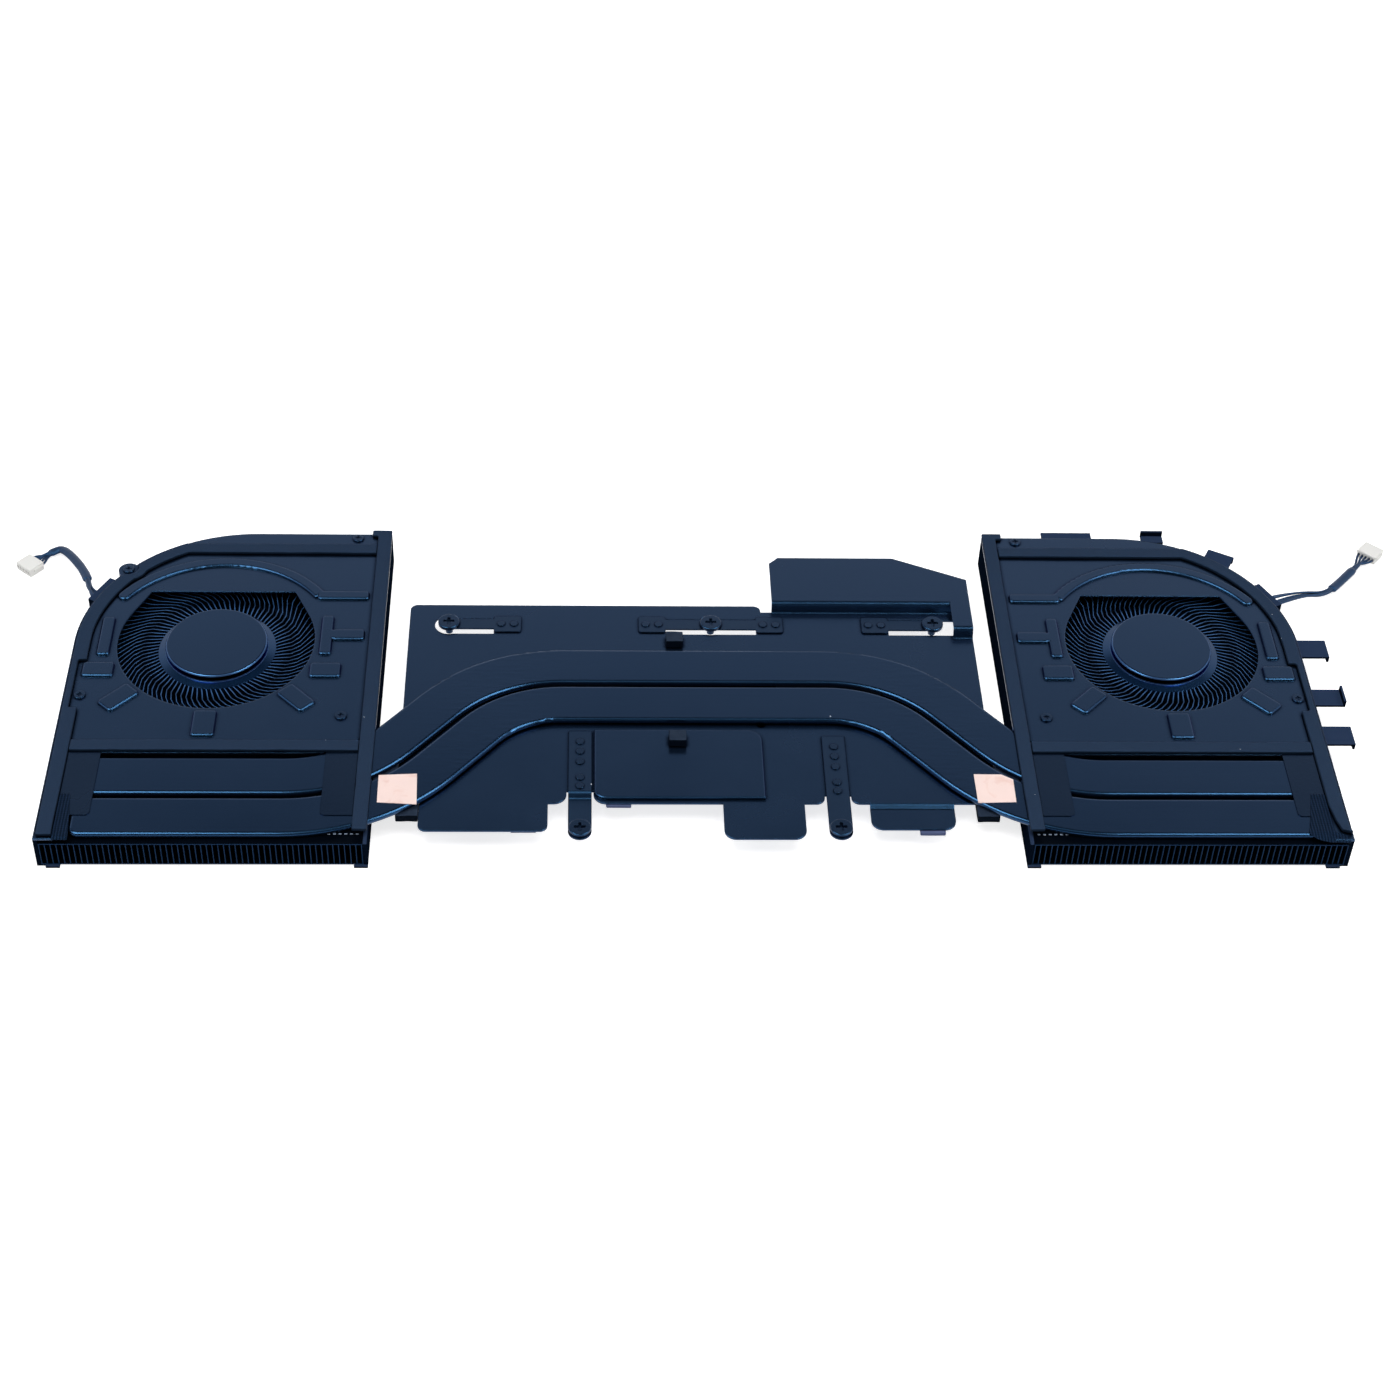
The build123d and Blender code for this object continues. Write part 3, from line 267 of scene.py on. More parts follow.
def capWall(tree, look):
    ring = between(tree, hubRadius(tree), look["capRim"][0], look["bladesFrom"])
    steep = sums(tree, "LESS_THAN", upShare(tree), maskLook["wallUp"])
    above = sums(tree, "GREATER_THAN", objectAxes(tree)["Z"], look["wallFrom"])
    return product(tree, ring, product(tree, steep, above))


# painted shade along the edges of a piece
def rimShare(tree, width):
    worn = place(tree, "Bevel", {"Radius": width}, samples=maskLook["samples"])
    flat = place(tree, "VectorMath", {0: worn.outputs[0], 1: trueFacing(tree)}, operation="DOT_PRODUCT")
    return spanned(tree, flat.outputs["Value"], *maskLook["rimFlat"], maskLook["most"], 0.0)


def pitShare(tree, low, high):
    within = between(tree, objectAxes(tree)["Z"], low, high)
    return product(tree, within, sums(tree, "GREATER_THAN", upShare(tree), maskLook["pitUp"]))


def slopeShare(tree, most):
    facing = facingAxes(tree)
    slanted = product(tree, spanned(tree, facing["Z"], *maskLook["slopeUp"], 1.0, 0.0),
                      sums(tree, "GREATER_THAN", facing["Z"], maskLook["slopeLeast"]))
    turnedAway = spanned(tree, facing["Y"], maskLook["slopeFront"], 0.0, 0.0, most)
    return product(tree, slanted, turnedAway)


# painted shade where the surface is closed in by neighbouring geometry
def creaseShare(tree, reach):
    shut = place(tree, "AmbientOcclusion", {"Distance": reach}, samples=maskLook["samples"])
    return spanned(tree, shut.outputs["AO"], *maskLook["creaseOpen"], maskLook["most"], 0.0)


def paintedShare(tree, look):
    return sums(tree, "GREATER_THAN", objectAxes(tree)["Z"], look["paintedAbove"])


# finishes, one dictionary each

toneSpan = (0.3, 0.7)  # the stretch of a noise that is put to use
nightBlue = (0.11, 0.40, 1.0)  # tint of the gloss on the black coats
coatLook = {  # what a coat has unless its own dictionary says otherwise
    "dust": 0.0, "metal": 0.0, "gloss": 0.5, "index": 1.54, "tint": (1.0, 1.0, 1.0), "edge": 0.0002,
    "edgeSamples": 4, "depth": 0.00003, "paint": (0.003, 0.006, 0.014), "dustColor": (0.42, 0.46, 0.52),
    # dullColor: the near-black of painted shade
    "dullColor": (0.0006, 0.0014, 0.0032),
}


def startMaterial(name):
    material = bpy.data.materials.new(name)
    material.use_nodes = True
    tree = material.node_tree
    tree.nodes.clear()
    shader = place(tree, "BsdfPrincipled")
    place(tree, "OutputMaterial", {"Surface": shader.outputs[0]})
    return material, tree, shader


# painted highlight on the cap rim and blade tops, painted sheen on the skirt
def bladeGlintTone(tree, look, tone):
    radius = hubRadius(tree)
    skirt = between(tree, radius, look["capRim"][1], look["bladesFrom"])
    tone = mixColor(tree, between(tree, radius, *look["capRim"]), tone, look["rimColor"])
    tone = mixColor(tree, skirt, tone, look["skirtColor"])
    return mixColor(tree, bladeTopGlint(tree, radius, look["bladesFrom"]), tone, look["edgeColor"])


def coatTone(tree, look, tone):
    if "paintedAbove" in look:  # sprayed black with the pipes, bare underneath
        tone = mixColor(tree, paintedShare(tree, look), tone, look["paint"])
    if "frontEdge" in look:  # painted highlight: the front edges are paler than the gaps behind them
        front = sums(tree, "LESS_THAN", objectAxes(tree)["Y"], look["frontEdge"])
        tone = mixColor(tree, front, tone, look["edgeColor"])
    if "bladesFrom" in look:  # painted highlights on the cap rim and the thin blade tops, and a painted sheen on the skirt, paler than the walls
        tone = bladeGlintTone(tree, look, tone)
    if "topColor" in look:  # painted sheen: the tops facing up are paler than the walls
        top = spanned(tree, upShare(tree), *maskLook["topUp"], 0.0, 1.0)
        tone = mixColor(tree, top, tone, look["topColor"])
    return tone


# painted shade: what these masks cover turns near-black and loses its gloss
def paintedShadeShare(tree, look):
    masks = []
    if "wallFrom" in look:  # painted shade: the cap's steep wall turns near-black
        masks.append(capWall(tree, look))
    if "outline" in look:  # painted shade: a dark outline along the rim of a thin piece
        masks.append(rimShare(tree, look["outline"]))
    if "pits" in look:  # no light gets into the blind dimples
        masks.append(pitShare(tree, *look["pits"]))
    if "slopes" in look:  # little light falls on slopes that face away
        masks.append(slopeShare(tree, look["slopes"]))
    if "crease" in look:  # painted shade along the foot of whatever stands on the piece
        masks.append(creaseShare(tree, look["crease"]))
    paintedShade = masks[0] if masks else None
    for mask in masks[1:]:
        paintedShade = sums(tree, "MAXIMUM", paintedShade, mask)
    return paintedShade


def coatedFinish(name, ownLook):
    look = {**coatLook, **ownLook}
    material, tree, shader = startMaterial(name)
    grain = useGroup(tree, satinGrain, {"Scale": look["grain"]})
    dust = useGroup(tree, dustSpecks, {"Share": look["dust"]}).outputs["Mask"]
    tone = coatTone(tree, look, mixColor(tree, grain.outputs["Tone"], look["dark"], look["light"]))
    shader.inputs["Metallic"].default_value = look["metal"]
    if "paintedAbove" in look:
        tree.links.new(sums(tree, "SUBTRACT", 1.0, paintedShare(tree, look)), shader.inputs["Metallic"])
    # painted shade: near-black colour with full metal, so that no gloss shows there
    paintedShade = paintedShadeShare(tree, look)
    if paintedShade is not None:
        tone = mixColor(tree, paintedShade, tone, look["dullColor"])
        tree.links.new(paintedShade, shader.inputs["Metallic"])
    tree.links.new(mixColor(tree, dust, tone, look["dustColor"]), shader.inputs["Base Color"])
    rough = spanned(tree, grain.outputs["Tone"], *toneSpan,
                    look["rough"] - look["vary"], look["rough"] + look["vary"])
    tree.links.new(sums(tree, "MAXIMUM", rough, dust), shader.inputs["Roughness"])
    shader.inputs["Specular IOR Level"].default_value = look["gloss"]
    shader.inputs["IOR"].default_value = look["index"]
    shader.inputs["Specular Tint"].default_value = (*look["tint"], 1)
    rounded = place(tree, "Bevel", {"Radius": look["edge"]}, samples=look["edgeSamples"])
    height = sums(tree, "ADD", product(tree, grain.outputs["Height"], look["bump"]), dust)
    for key, group in (("creases", bendCreases), ("lines", drawnLines)):
        if key in look:
            marks = useGroup(tree, group, {}).outputs["Height"]
            height = sums(tree, "ADD", height, product(tree, marks, look[key]))
    bump = place(tree, "Bump", {"Strength": 1.0, "Distance": look["depth"], "Height": height,
                                "Normal": rounded.outputs[0]})
    tree.links.new(bump.outputs[0], shader.inputs["Normal"])
    return material


finishes = {
    "black_sheet": {
        "dark": (0.0020, 0.0044, 0.0104), "light": (0.0030, 0.0064, 0.0146), "rough": 0.25, "vary": 0.03,
        "grain": 3500.0, "bump": 0.35, "dust": 0.05, "tint": nightBlue, "gloss": 0.91, "edge": 0.00045,
        "lines": 0.06, "pits": (0.0070, 0.00776), "slopes": 0.85, "crease": 0.0012,
    },
    "black_pipe": {
        "dark": (0.0017, 0.0038, 0.0092), "light": (0.0026, 0.0056, 0.0130), "rough": 0.19, "vary": 0.03,
        "grain": 2600.0, "bump": 0.22, "dust": 0.05, "tint": nightBlue, "gloss": 0.93, "edge": 0.0004,
        "creases": 0.10, "lines": 0.10,
    },
    "black_fin": {
        "dark": (0.0005, 0.0010, 0.0022), "light": (0.0009, 0.0018, 0.0040), "rough": 0.42, "vary": 0.06,
        "grain": 3000.0, "bump": 0.30, "tint": nightBlue, "gloss": 0.04, "edge": 0.00005,
        # painted highlight on the fins' front edges
        "frontEdge": -0.0603, "edgeColor": (0.009, 0.030, 0.078),
    },
    "black_spring": {
        "dark": (0.0017, 0.0038, 0.0092), "light": (0.0026, 0.0056, 0.0130), "rough": 0.36, "vary": 0.04,
        "grain": 3800.0, "bump": 0.40, "dust": 0.03, "tint": nightBlue, "gloss": 0.78,
        "outline": 0.00045, "crease": 0.0006,
    },
    "black_steel": {
        "dark": (0.0040, 0.0080, 0.0170), "light": (0.0064, 0.0124, 0.0250), "rough": 0.24, "vary": 0.05,
        "grain": 4200.0, "bump": 0.25, "tint": nightBlue, "gloss": 0.68, "edge": 0.00022,
        "outline": 0.00034,
    },
    "black_plastic": {
        "dark": (0.0016, 0.0040, 0.0100), "light": (0.0030, 0.0070, 0.0165), "rough": 0.66, "vary": 0.06,
        "grain": 2800.0, "bump": 0.60, "dust": 0.02, "tint": nightBlue, "gloss": 0.0,
        # painted sheen on the tops facing up
        "topColor": (0.0220, 0.0385, 0.0820),
    },
    "blade_plastic": {
        "dark": (0.0013, 0.0030, 0.0072), "light": (0.0020, 0.0042, 0.0100), "rough": 0.18, "vary": 0.03,
        "grain": 4000.0, "bump": 0.18, "tint": nightBlue, "gloss": 0.95, "edge": 0.00005,
        # painted highlights: edgeColor on blade tops, rimColor on the cap rim; painted sheen: skirtColor
        "bladesFrom": 0.0157, "edgeColor": (0.028, 0.082, 0.200), "capRim": (0.0132, 0.0137),
        "rimColor": (0.026, 0.054, 0.130), "skirtColor": (0.002, 0.009, 0.028), "wallFrom": 0.0076,
    },
    "film": {
        "dark": (0.0012, 0.0030, 0.0078), "light": (0.0018, 0.0042, 0.0104), "rough": 0.25, "vary": 0.04,
        "grain": 1500.0, "bump": 0.45, "dust": 0.02, "tint": nightBlue, "gloss": 0.62, "edge": 0.00006,
        "outline": 0.0003,
    },
    "magnet": {
        "dark": (0.03, 0.028, 0.026), "light": (0.05, 0.047, 0.043), "rough": 0.6, "vary": 0.08,
        "grain": 2500.0, "bump": 0.5,
    },
    "steel": {
        "dark": (0.42, 0.42, 0.44), "light": (0.58, 0.58, 0.60), "rough": 0.34, "vary": 0.08,
        "grain": 3000.0, "bump": 0.2, "metal": 1.0,
    },
    "bronze": {
        "dark": (0.42, 0.29, 0.16), "light": (0.58, 0.42, 0.25), "rough": 0.46, "vary": 0.08,
        "grain": 3600.0, "bump": 0.6, "metal": 1.0,
    },
    "winding": {
        "dark": (0.45, 0.17, 0.07), "light": (0.62, 0.27, 0.12), "rough": 0.32, "vary": 0.06,
        "grain": 1800.0, "bump": 0.9, "metal": 1.0,
    },
    "board": {
        "dark": (0.012, 0.045, 0.022), "light": (0.018, 0.062, 0.03), "rough": 0.42, "vary": 0.06,
        "grain": 2400.0, "bump": 0.4, "gloss": 0.1,
    },
    "copper": {
        "dark": (0.55, 0.28, 0.17), "light": (0.70, 0.38, 0.25), "rough": 0.38, "vary": 0.08,
        "grain": 1600.0, "bump": 0.3, "gloss": 0.08, "paintedAbove": 0.0062,
    },
    "connector": {
        "dark": (0.78, 0.78, 0.76), "light": (0.85, 0.85, 0.83), "rough": 0.5, "vary": 0.05,
        "grain": 3000.0, "bump": 0.3,
    },
    "lead": {
        "dark": (0.0080, 0.0150, 0.0360), "light": (0.0150, 0.0260, 0.0580), "rough": 0.48, "vary": 0.05,
        "grain": 2400.0, "bump": 0.3, "tint": nightBlue, "gloss": 0.6, "edge": 0.00005,
    },
}
materials = {name: coatedFinish(name + "Coat", look) for name, look in finishes.items()}

foamShared = {"dustScale": 320.0, "dustColor": (0.40, 0.44, 0.50), "topUp": (0.4, 0.85), "vary": 0.08,
              "tint": (0.2, 0.45, 1.0), "strength": 0.8}
# cutColor is the painted shade on the sides of strips and blocks
foamLook = {
    "black_foam": {
        "dark": (0.0058, 0.0126, 0.0290), "light": (0.0130, 0.0240, 0.0480), "pores": 2600.0, "rough": 0.78,
        "dust": 0.24, "dustSize": 0.08, "depth": 0.00006, "gloss": 0.3, "cutColor": (0.0014, 0.0030, 0.0068),
    },
    "block_foam": {
        "dark": (0.0080, 0.0140, 0.0270), "light": (0.0320, 0.0460, 0.0740), "pores": 2600.0, "rough": 0.85,
        "dust": 0.34, "dustSize": 0.07, "depth": 0.00006, "gloss": 0.08, "cutColor": (0.0010, 0.0022, 0.0050),
    },
    "thermal_pad": {
        "dark": (0.060, 0.075, 0.150), "light": (0.095, 0.110, 0.205), "pores": 1800.0, "rough": 0.7,
        "dust": 0.0, "dustSize": 0.05, "depth": 0.00003, "gloss": 0.3,
    },
}


def foamFinish(name, ownLook):
    look = {**foamShared, **ownLook}
    material, tree, shader = startMaterial(name)
    pores = useGroup(tree, foamPores, {"Scale": look["pores"]})
    dust = useGroup(tree, dustSpecks, {"Share": look["dust"], "Size": look["dustSize"],
                                       "Scale": look["dustScale"]}).outputs["Mask"]
    tone = mixColor(tree, pores.outputs["Tone"], look["dark"], look["light"])
    tone = mixColor(tree, dust, tone, look["dustColor"])
    if "cutColor" in look:  # painted shade: the sides turn near-black, so the tone and dust show only on top
        top = spanned(tree, upShare(tree), *look["topUp"], 0.0, 1.0)
        tone = mixColor(tree, top, look["cutColor"], tone)
    tree.links.new(tone, shader.inputs["Base Color"])
    rough = spanned(tree, pores.outputs["Tone"], *toneSpan,
                    look["rough"] - look["vary"], look["rough"] + look["vary"])
    tree.links.new(rough, shader.inputs["Roughness"])
    shader.inputs["Specular IOR Level"].default_value = look["gloss"]
    shader.inputs["Specular Tint"].default_value = (*look["tint"], 1)
    height = sums(tree, "ADD", pores.outputs["Height"], dust)
    bump = place(tree, "Bump", {"Strength": look["strength"], "Distance": look["depth"], "Height": height})
    tree.links.new(bump.outputs[0], shader.inputs["Normal"])
    return material


for foamName, foamValues in foamLook.items():
    materials[foamName] = foamFinish(foamName + "Soft", foamValues)

foilLook = {
    "dark": (0.82, 0.57, 0.51), "light": (0.92, 0.73, 0.69), "metal": 0.12,
    "smoothest": 0.37, "roughest": 0.55,
    "crease": 190.0, "creaseDetail": 6.0, "creaseBend": 0.6, "crack": (0.28, 0.46),
    "streak": 900.0, "streakDetail": 2.0, "depth": 0.00012, "strength": 0.5,
}


def foilFinish(look):
    material, tree, shader = startMaterial("copperFoilBright")
    where = objectPlace(tree)
    crumple = place(tree, "TexNoise", {"Vector": where, "Scale": look["crease"],
                                       "Detail": look["creaseDetail"], "Distortion": look["creaseBend"]})
    streak = place(tree, "TexNoise", {"Vector": where, "Scale": look["streak"],
                                      "Detail": look["streakDetail"]})
    crack = spanned(tree, crumple.outputs[0], *look["crack"], 0.0, 1.0)
    tree.links.new(mixColor(tree, crack, look["dark"], look["light"]), shader.inputs["Base Color"])
    tree.links.new(spanned(tree, streak.outputs[0], *toneSpan, look["smoothest"], look["roughest"]),
                   shader.inputs["Roughness"])
    shader.inputs["Metallic"].default_value = look["metal"]
    bump = place(tree, "Bump", {"Strength": look["strength"], "Distance": look["depth"],
                                "Height": crumple.outputs[0]})
    tree.links.new(bump.outputs[0], shader.inputs["Normal"])
    return material


materials["copper_foil"] = foilFinish(foilLook)

meshLook = {
    "thread": (0.0075, 0.0165, 0.0400), "gap": (0.0020, 0.0050, 0.0125), "pitch": 0.00075,
    "lengthShare": 0.75, "crossShare": 0.25, "weave": (-0.5, 0.6), "gapRough": 0.75, "threadRough": 0.55,
    "gloss": 0.1, "depth": 0.00012, "strength": 0.9,
}


def meshFinish(look):
    # fine threads that run along the tape, crossed by fainter ones
    material, tree, shader = startMaterial("meshTapeWeave")
    axes = objectAxes(tree)
    turns = 2 * math.pi / look["pitch"]
    outwards = sums(tree, "SUBTRACT", axes["X"], hubPlace["middle"])
    lengthwise = sums(tree, "COSINE", product(tree, outwards, turns))
    crosswise = sums(tree, "SINE", product(tree, axes["Y"], turns))
    weave = sums(tree, "ADD", product(tree, lengthwise, look["lengthShare"]),
                 product(tree, crosswise, look["crossShare"]))
    share = spanned(tree, weave, *look["weave"], 0.0, 1.0)
    tree.links.new(mixColor(tree, share, look["gap"], look["thread"]), shader.inputs["Base Color"])
    tree.links.new(spanned(tree, share, 0.0, 1.0, look["gapRough"], look["threadRough"]),
                   shader.inputs["Roughness"])
    shader.inputs["Specular IOR Level"].default_value = look["gloss"]
    shader.inputs["Specular Tint"].default_value = (*nightBlue, 1)
    bump = place(tree, "Bump", {"Strength": look["strength"], "Distance": look["depth"], "Height": share})
    tree.links.new(bump.outputs[0], shader.inputs["Normal"])
    return material


materials["mesh"] = meshFinish(meshLook)

for row in frame["record"]["subparts"]:
    mesh = nodes[row["node"]].data
    mesh.materials.clear()
    mesh.materials.append(materials[row["material_slot"]])
print("finishes set on", len(nodes), "nodes")


# fan leads: loose wires, a wrapped stretch, and a small connector

leadLook = {
    "wires": 5, "wireRadius": 0.00034, "bundleRadius": 0.00050, "diameter": 0.002, "twist": 0.7, "sides": 8,
    "lift": 0.4, "liftTurn": 2.1, "looseTo": 0.9,
    "wrapSides": 14, "fold": 0.06, "foldScale": 1500.0, "tip": 0.85,
}
leadRoutes = {
    "right": {
        "route": [(157.956, 35.667, 5.0), (161.032, 37.337, 5.0), (169.456, 41.667, 3.4),
                  (176.456, 43.267, 1.9), (182.856, 50.167, 1.3), (191.756, 60.367, 1.3)],
        "length": 0.0432, "spread": 0.95,
        "wrapFrom": 0.54, "wrapTo": 0.85, "wrapWide": 1.30, "wrapTall": 0.90,
    },
    "left": {
        "route": [(-166.156, 35.667, 5.0), (-169.232, 37.337, 5.0), (-171.656, 47.167, 4.0),
                  (-179.356, 59.667, 2.0), (-182.556, 60.667, 1.3), (-186.956, 55.467, 1.3)],
        "length": 0.0380, "spread": 0.60,
        "wrapFrom": 0.26, "wrapTo": 0.88, "wrapWide": 1.30, "wrapTall": 0.80,
    },
}
connectorLook = {  # sizes in millimetres, and shares of the slot, the length and the height
    "long": 5.0, "wide": 6.4, "tall": 2.6, "corner": 0.22, "cornerShape": 0.6,
    "ways": 5, "pitch": 1.1, "slot": 0.6, "slotShare": 1.6, "deep": 1.6,
    "rib": 0.3, "ribLongShare": 0.62, "ribTallShare": 0.34, "ribCorner": 0.1, "ribBack": 0.5, "ribLift": 0.3,
}


def routeLine(points):
    curve = bpy.data.curves.new("leadRoute", "CURVE")
    curve.dimensions = "3D"
    curve.resolution_u = 16
    spline = curve.splines.new("NURBS")
    spline.points.add(len(points) - 1)
    for target, point in zip(spline.points, points):
        target.co = (point[0] * mm, point[1] * mm, point[2] * mm, 1)
    spline.order_u = 3
    spline.use_endpoint_u = True
    holder = bpy.data.objects.new("leadRoute", curve)
    mesh = bpy.data.meshes.new_from_object(holder)
    line = [v.co.copy() for v in mesh.vertices]
    bpy.data.meshes.remove(mesh)
    bpy.data.curves.remove(curve)
    return line


def lineFrames(line):
    up = Vector((0, 0, 1))
    frames = []
    for index in range(len(line)):
        ahead = (line[min(index + 1, len(line) - 1)] - line[max(index - 1, 0)]).normalized()
        across = ahead.cross(up).normalized()
        frames.append((across, across.cross(ahead)))
    return frames


def shares(line):
    run = [0.0]
    for before, here in zip(line, line[1:]):
        run.append(run[-1] + (here - before).length)
    return [value / run[-1] for value in run]


def sweepTube(bm, line, frames, wide, tall, sides):
    turns = [2 * math.pi * k / sides for k in range(sides)]
    rings = []
    for point, (across, rise), w, t in zip(line, frames, wide, tall):
        rings.append([bm.verts.new(point + w * math.cos(a) * across + t * math.sin(a) * rise) for a in turns])
    for low, high in zip(rings, rings[1:]):
        for k in range(sides):
            bm.faces.new((low[k], low[(k + 1) % sides], high[(k + 1) % sides], high[k]))
    bm.faces.new(rings[0][::-1])
    bm.faces.new(rings[-1])


def meshFrom(bm, name, smooth=True):
    bmesh.ops.recalc_face_normals(bm, faces=bm.faces[:])
    mesh = bpy.data.meshes.new(name)
    bm.to_mesh(mesh)
    bm.free()
    for face in mesh.polygons:
        face.use_smooth = smooth
    return mesh


def shapedMesh(piece):
    bpy.context.view_layer.update()
    mesh = bpy.data.meshes.new_from_object(piece.evaluated_get(bpy.context.evaluated_depsgraph_get()))
    bpy.data.objects.remove(piece)
    return mesh


def ease(value, low, high):
    share = min(max((value - low) / (high - low), 0.0), 1.0)
    return share * share * (3 - 2 * share)


def buildWires(side, values, line, frames, along):
    look = leadLook
    wires = bmesh.new()
    for wire in range(look["wires"]):
        spot = wire - (look["wires"] - 1) / 2
        path = []
        for point, (across, rise), share in zip(line, frames, along):
            turn = 2 * math.pi * (wire / look["wires"] + look["twist"] * share)
            tied = look["bundleRadius"] * (math.cos(turn) * across + math.sin(turn) * rise)
            lift = look["lift"] * mm * math.sin(look["liftTurn"] * wire)
            leaving = spot * values["spread"] * mm * across + lift * rise
            arriving = spot * connectorLook["pitch"] * mm * across
            early = 1 - ease(share, 0.0, values["wrapFrom"] * look["looseTo"])
            late = ease(share, values["wrapTo"], 1.0)
            path.append(point + tied * (1 - early) * (1 - late) + leaving * early + arriving * late)
        thick = [look["wireRadius"]] * len(line)
        sweepTube(wires, path, lineFrames(path), thick, thick, look["sides"])
    return addObject(side + "LeadWires", meshFrom(wires, side + "LeadWires"), materials["lead"])


def buildWrap(side, values, line, frames, along):
    look = leadLook
    wrap = bmesh.new()
    chosen = [k for k, share in enumerate(along) if values["wrapFrom"] <= share <= values["wrapTo"]]
    folds = [1 + look["fold"] * noise.noise(line[k] * look["foldScale"]) for k in chosen]
    tips = [look["tip"] if k in (chosen[0], chosen[-1]) else 1.0 for k in chosen]
    sweepTube(wrap, [line[k] for k in chosen], [frames[k] for k in chosen],
              [values["wrapWide"] * mm * f * t for f, t in zip(folds, tips)],
              [values["wrapTall"] * mm * f * t for f, t in zip(folds, tips)], look["wrapSides"])
    return addObject(side + "LeadWrap", meshFrom(wrap, side + "LeadWrap"), materials["lead"])


def buildLead(side, values):
    line = routeLine(values["route"])
    course = (line, lineFrames(line), shares(line))
    lead = buildWires(side, values, *course)
    sleeve = buildWrap(side, values, *course)
    plug = buildConnector(side, line)
    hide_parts(side + "_lead")


def blockMesh(bm, size, spot):
    made = bmesh.ops.create_cube(bm, size=1.0)["verts"]
    bmesh.ops.scale(bm, vec=[side * mm for side in size], verts=made)
    bmesh.ops.translate(bm, vec=[part * mm for part in spot], verts=made)


def connectorShell(look):
    shell = bmesh.new()
    blockMesh(shell, (look["long"], look["wide"] - 2 * look["rib"], look["tall"]), (0, 0, 0))
    bmesh.ops.bevel(shell, geom=shell.edges[:], offset=look["corner"] * mm, segments=2,
                    profile=look["cornerShape"], affect="EDGES")
    holes = bmesh.new()
    hole = (2 * look["deep"], look["slot"], look["slot"] * look["slotShare"])
    for way in range(look["ways"]):
        shift = (way - (look["ways"] - 1) / 2) * look["pitch"]
        for end in (-1, 1):
            blockMesh(holes, hole, (end * look["long"] / 2, shift, 0))
    body = bpy.data.objects.new("shell", meshFrom(shell, "shell", False))
    cutter = bpy.data.objects.new("cutter", meshFrom(holes, "cutter", False))
    scene.collection.objects.link(body)
    scene.collection.objects.link(cutter)
    cut = body.modifiers.new("ways", "BOOLEAN")
    cut.object = cutter
    cut.operation = "DIFFERENCE"
    mesh = shapedMesh(body)
    bpy.data.objects.remove(cutter)
    return mesh


def buildConnector(side, line):
    look = connectorLook
    ribSize = (look["long"] * look["ribLongShare"], 2 * look["rib"], look["tall"] * look["ribTallShare"])
    plug = bmesh.new()
    plug.from_mesh(connectorShell(look))
    for flank in (-1, 1):
        ribs = bmesh.new()
        blockMesh(ribs, ribSize, (0, 0, 0))
        bmesh.ops.bevel(ribs, geom=ribs.edges[:], offset=look["ribCorner"] * mm, segments=2, affect="EDGES")
        spot = (-look["ribBack"] * mm, flank * (look["wide"] / 2 - look["rib"]) * mm, look["ribLift"] * mm)
        bmesh.ops.translate(ribs, vec=spot, verts=ribs.verts)
        ribMesh = meshFrom(ribs, "rib", False)
        plug.from_mesh(ribMesh)
        bpy.data.meshes.remove(ribMesh)
    heading = line[-1] - line[-2]
    heading = Vector((heading.x, heading.y, 0)).normalized()
    middle = line[-1] + heading * look["long"] / 2 * mm
    turn = Matrix.Translation(middle) @ Matrix.Rotation(math.atan2(heading.y, heading.x), 4, "Z")
    bmesh.ops.transform(plug, matrix=turn, verts=plug.verts)
    name = side + "LeadConnector"
    piece = addObject(name, meshFrom(plug, name, False), materials["connector"])
    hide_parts(side + "_connector")
    return piece


for side, values in leadRoutes.items():
    buildLead(side, values)
print("leads laid")


# foam strips, foam blocks and soft pads, with cut edges that are not quite straight

softLook = {
    "strip": {"voxel": 0.00026, "wave": 0.00007, "pitch": 160.0, "slot": "black_foam", "fill": 0.9,
              "finish": "black_foam"},
    "block": {"voxel": 0.00018, "wave": 0.00012, "pitch": 420.0, "slot": "black_foam", "fill": 0.8,
              "finish": "block_foam"},
    "pad": {"voxel": 0.00022, "wave": 0.00006, "pitch": 260.0, "slot": "thermal_pad", "fill": 1.0,
            "finish": "thermal_pad"},
}
softCorners = {"share": 0.5, "rounds": 3}  # how far the cut edges are smoothed
stripNames = ("_rim_gasket", "_inner_gasket", "_cross_gasket")
softNodes = {
    "strip": [side + name for side in ("left", "right") for name in stripNames],
    "block": ["rear_foam_block", "front_foam_block", "pipe_supports"],
    "pad": ["thermal_pads"],
}
looseEnds = {  # along, inner edge, outer edge and lift of a strip's loose end
    "right_rim_gasket": [(-48.35, 156.8, 160.6, 0.0), (-53.95, 157.6, 160.6, 0.0),
                         (-57.45, 158.5, 160.85, 0.12), (-58.4, 160.75, 161.1, 0.28)],
}
looseSlack = 0.2  # in from the inner edge, so that the whole strip is taken


def peeled(point, outer, rows):
    along = point.y / mm
    if along >= rows[0][0] or point.x < rows[0][1] * mm - looseSlack * mm:
        return point
    for before, after in zip(rows, rows[1:]):
        if along >= after[0] or after is rows[-1]:
            share = min((along - before[0]) / (after[0] - before[0]), 1.0)
            inner, edge, lift = (b + share * (a - b) for b, a in zip(before[1:], after[1:]))
            spot = (point.x / mm - rows[0][1]) / (outer / mm - rows[0][1])
            return Vector(((inner + spot * (edge - inner)) * mm, point.y, point.z + lift * mm))


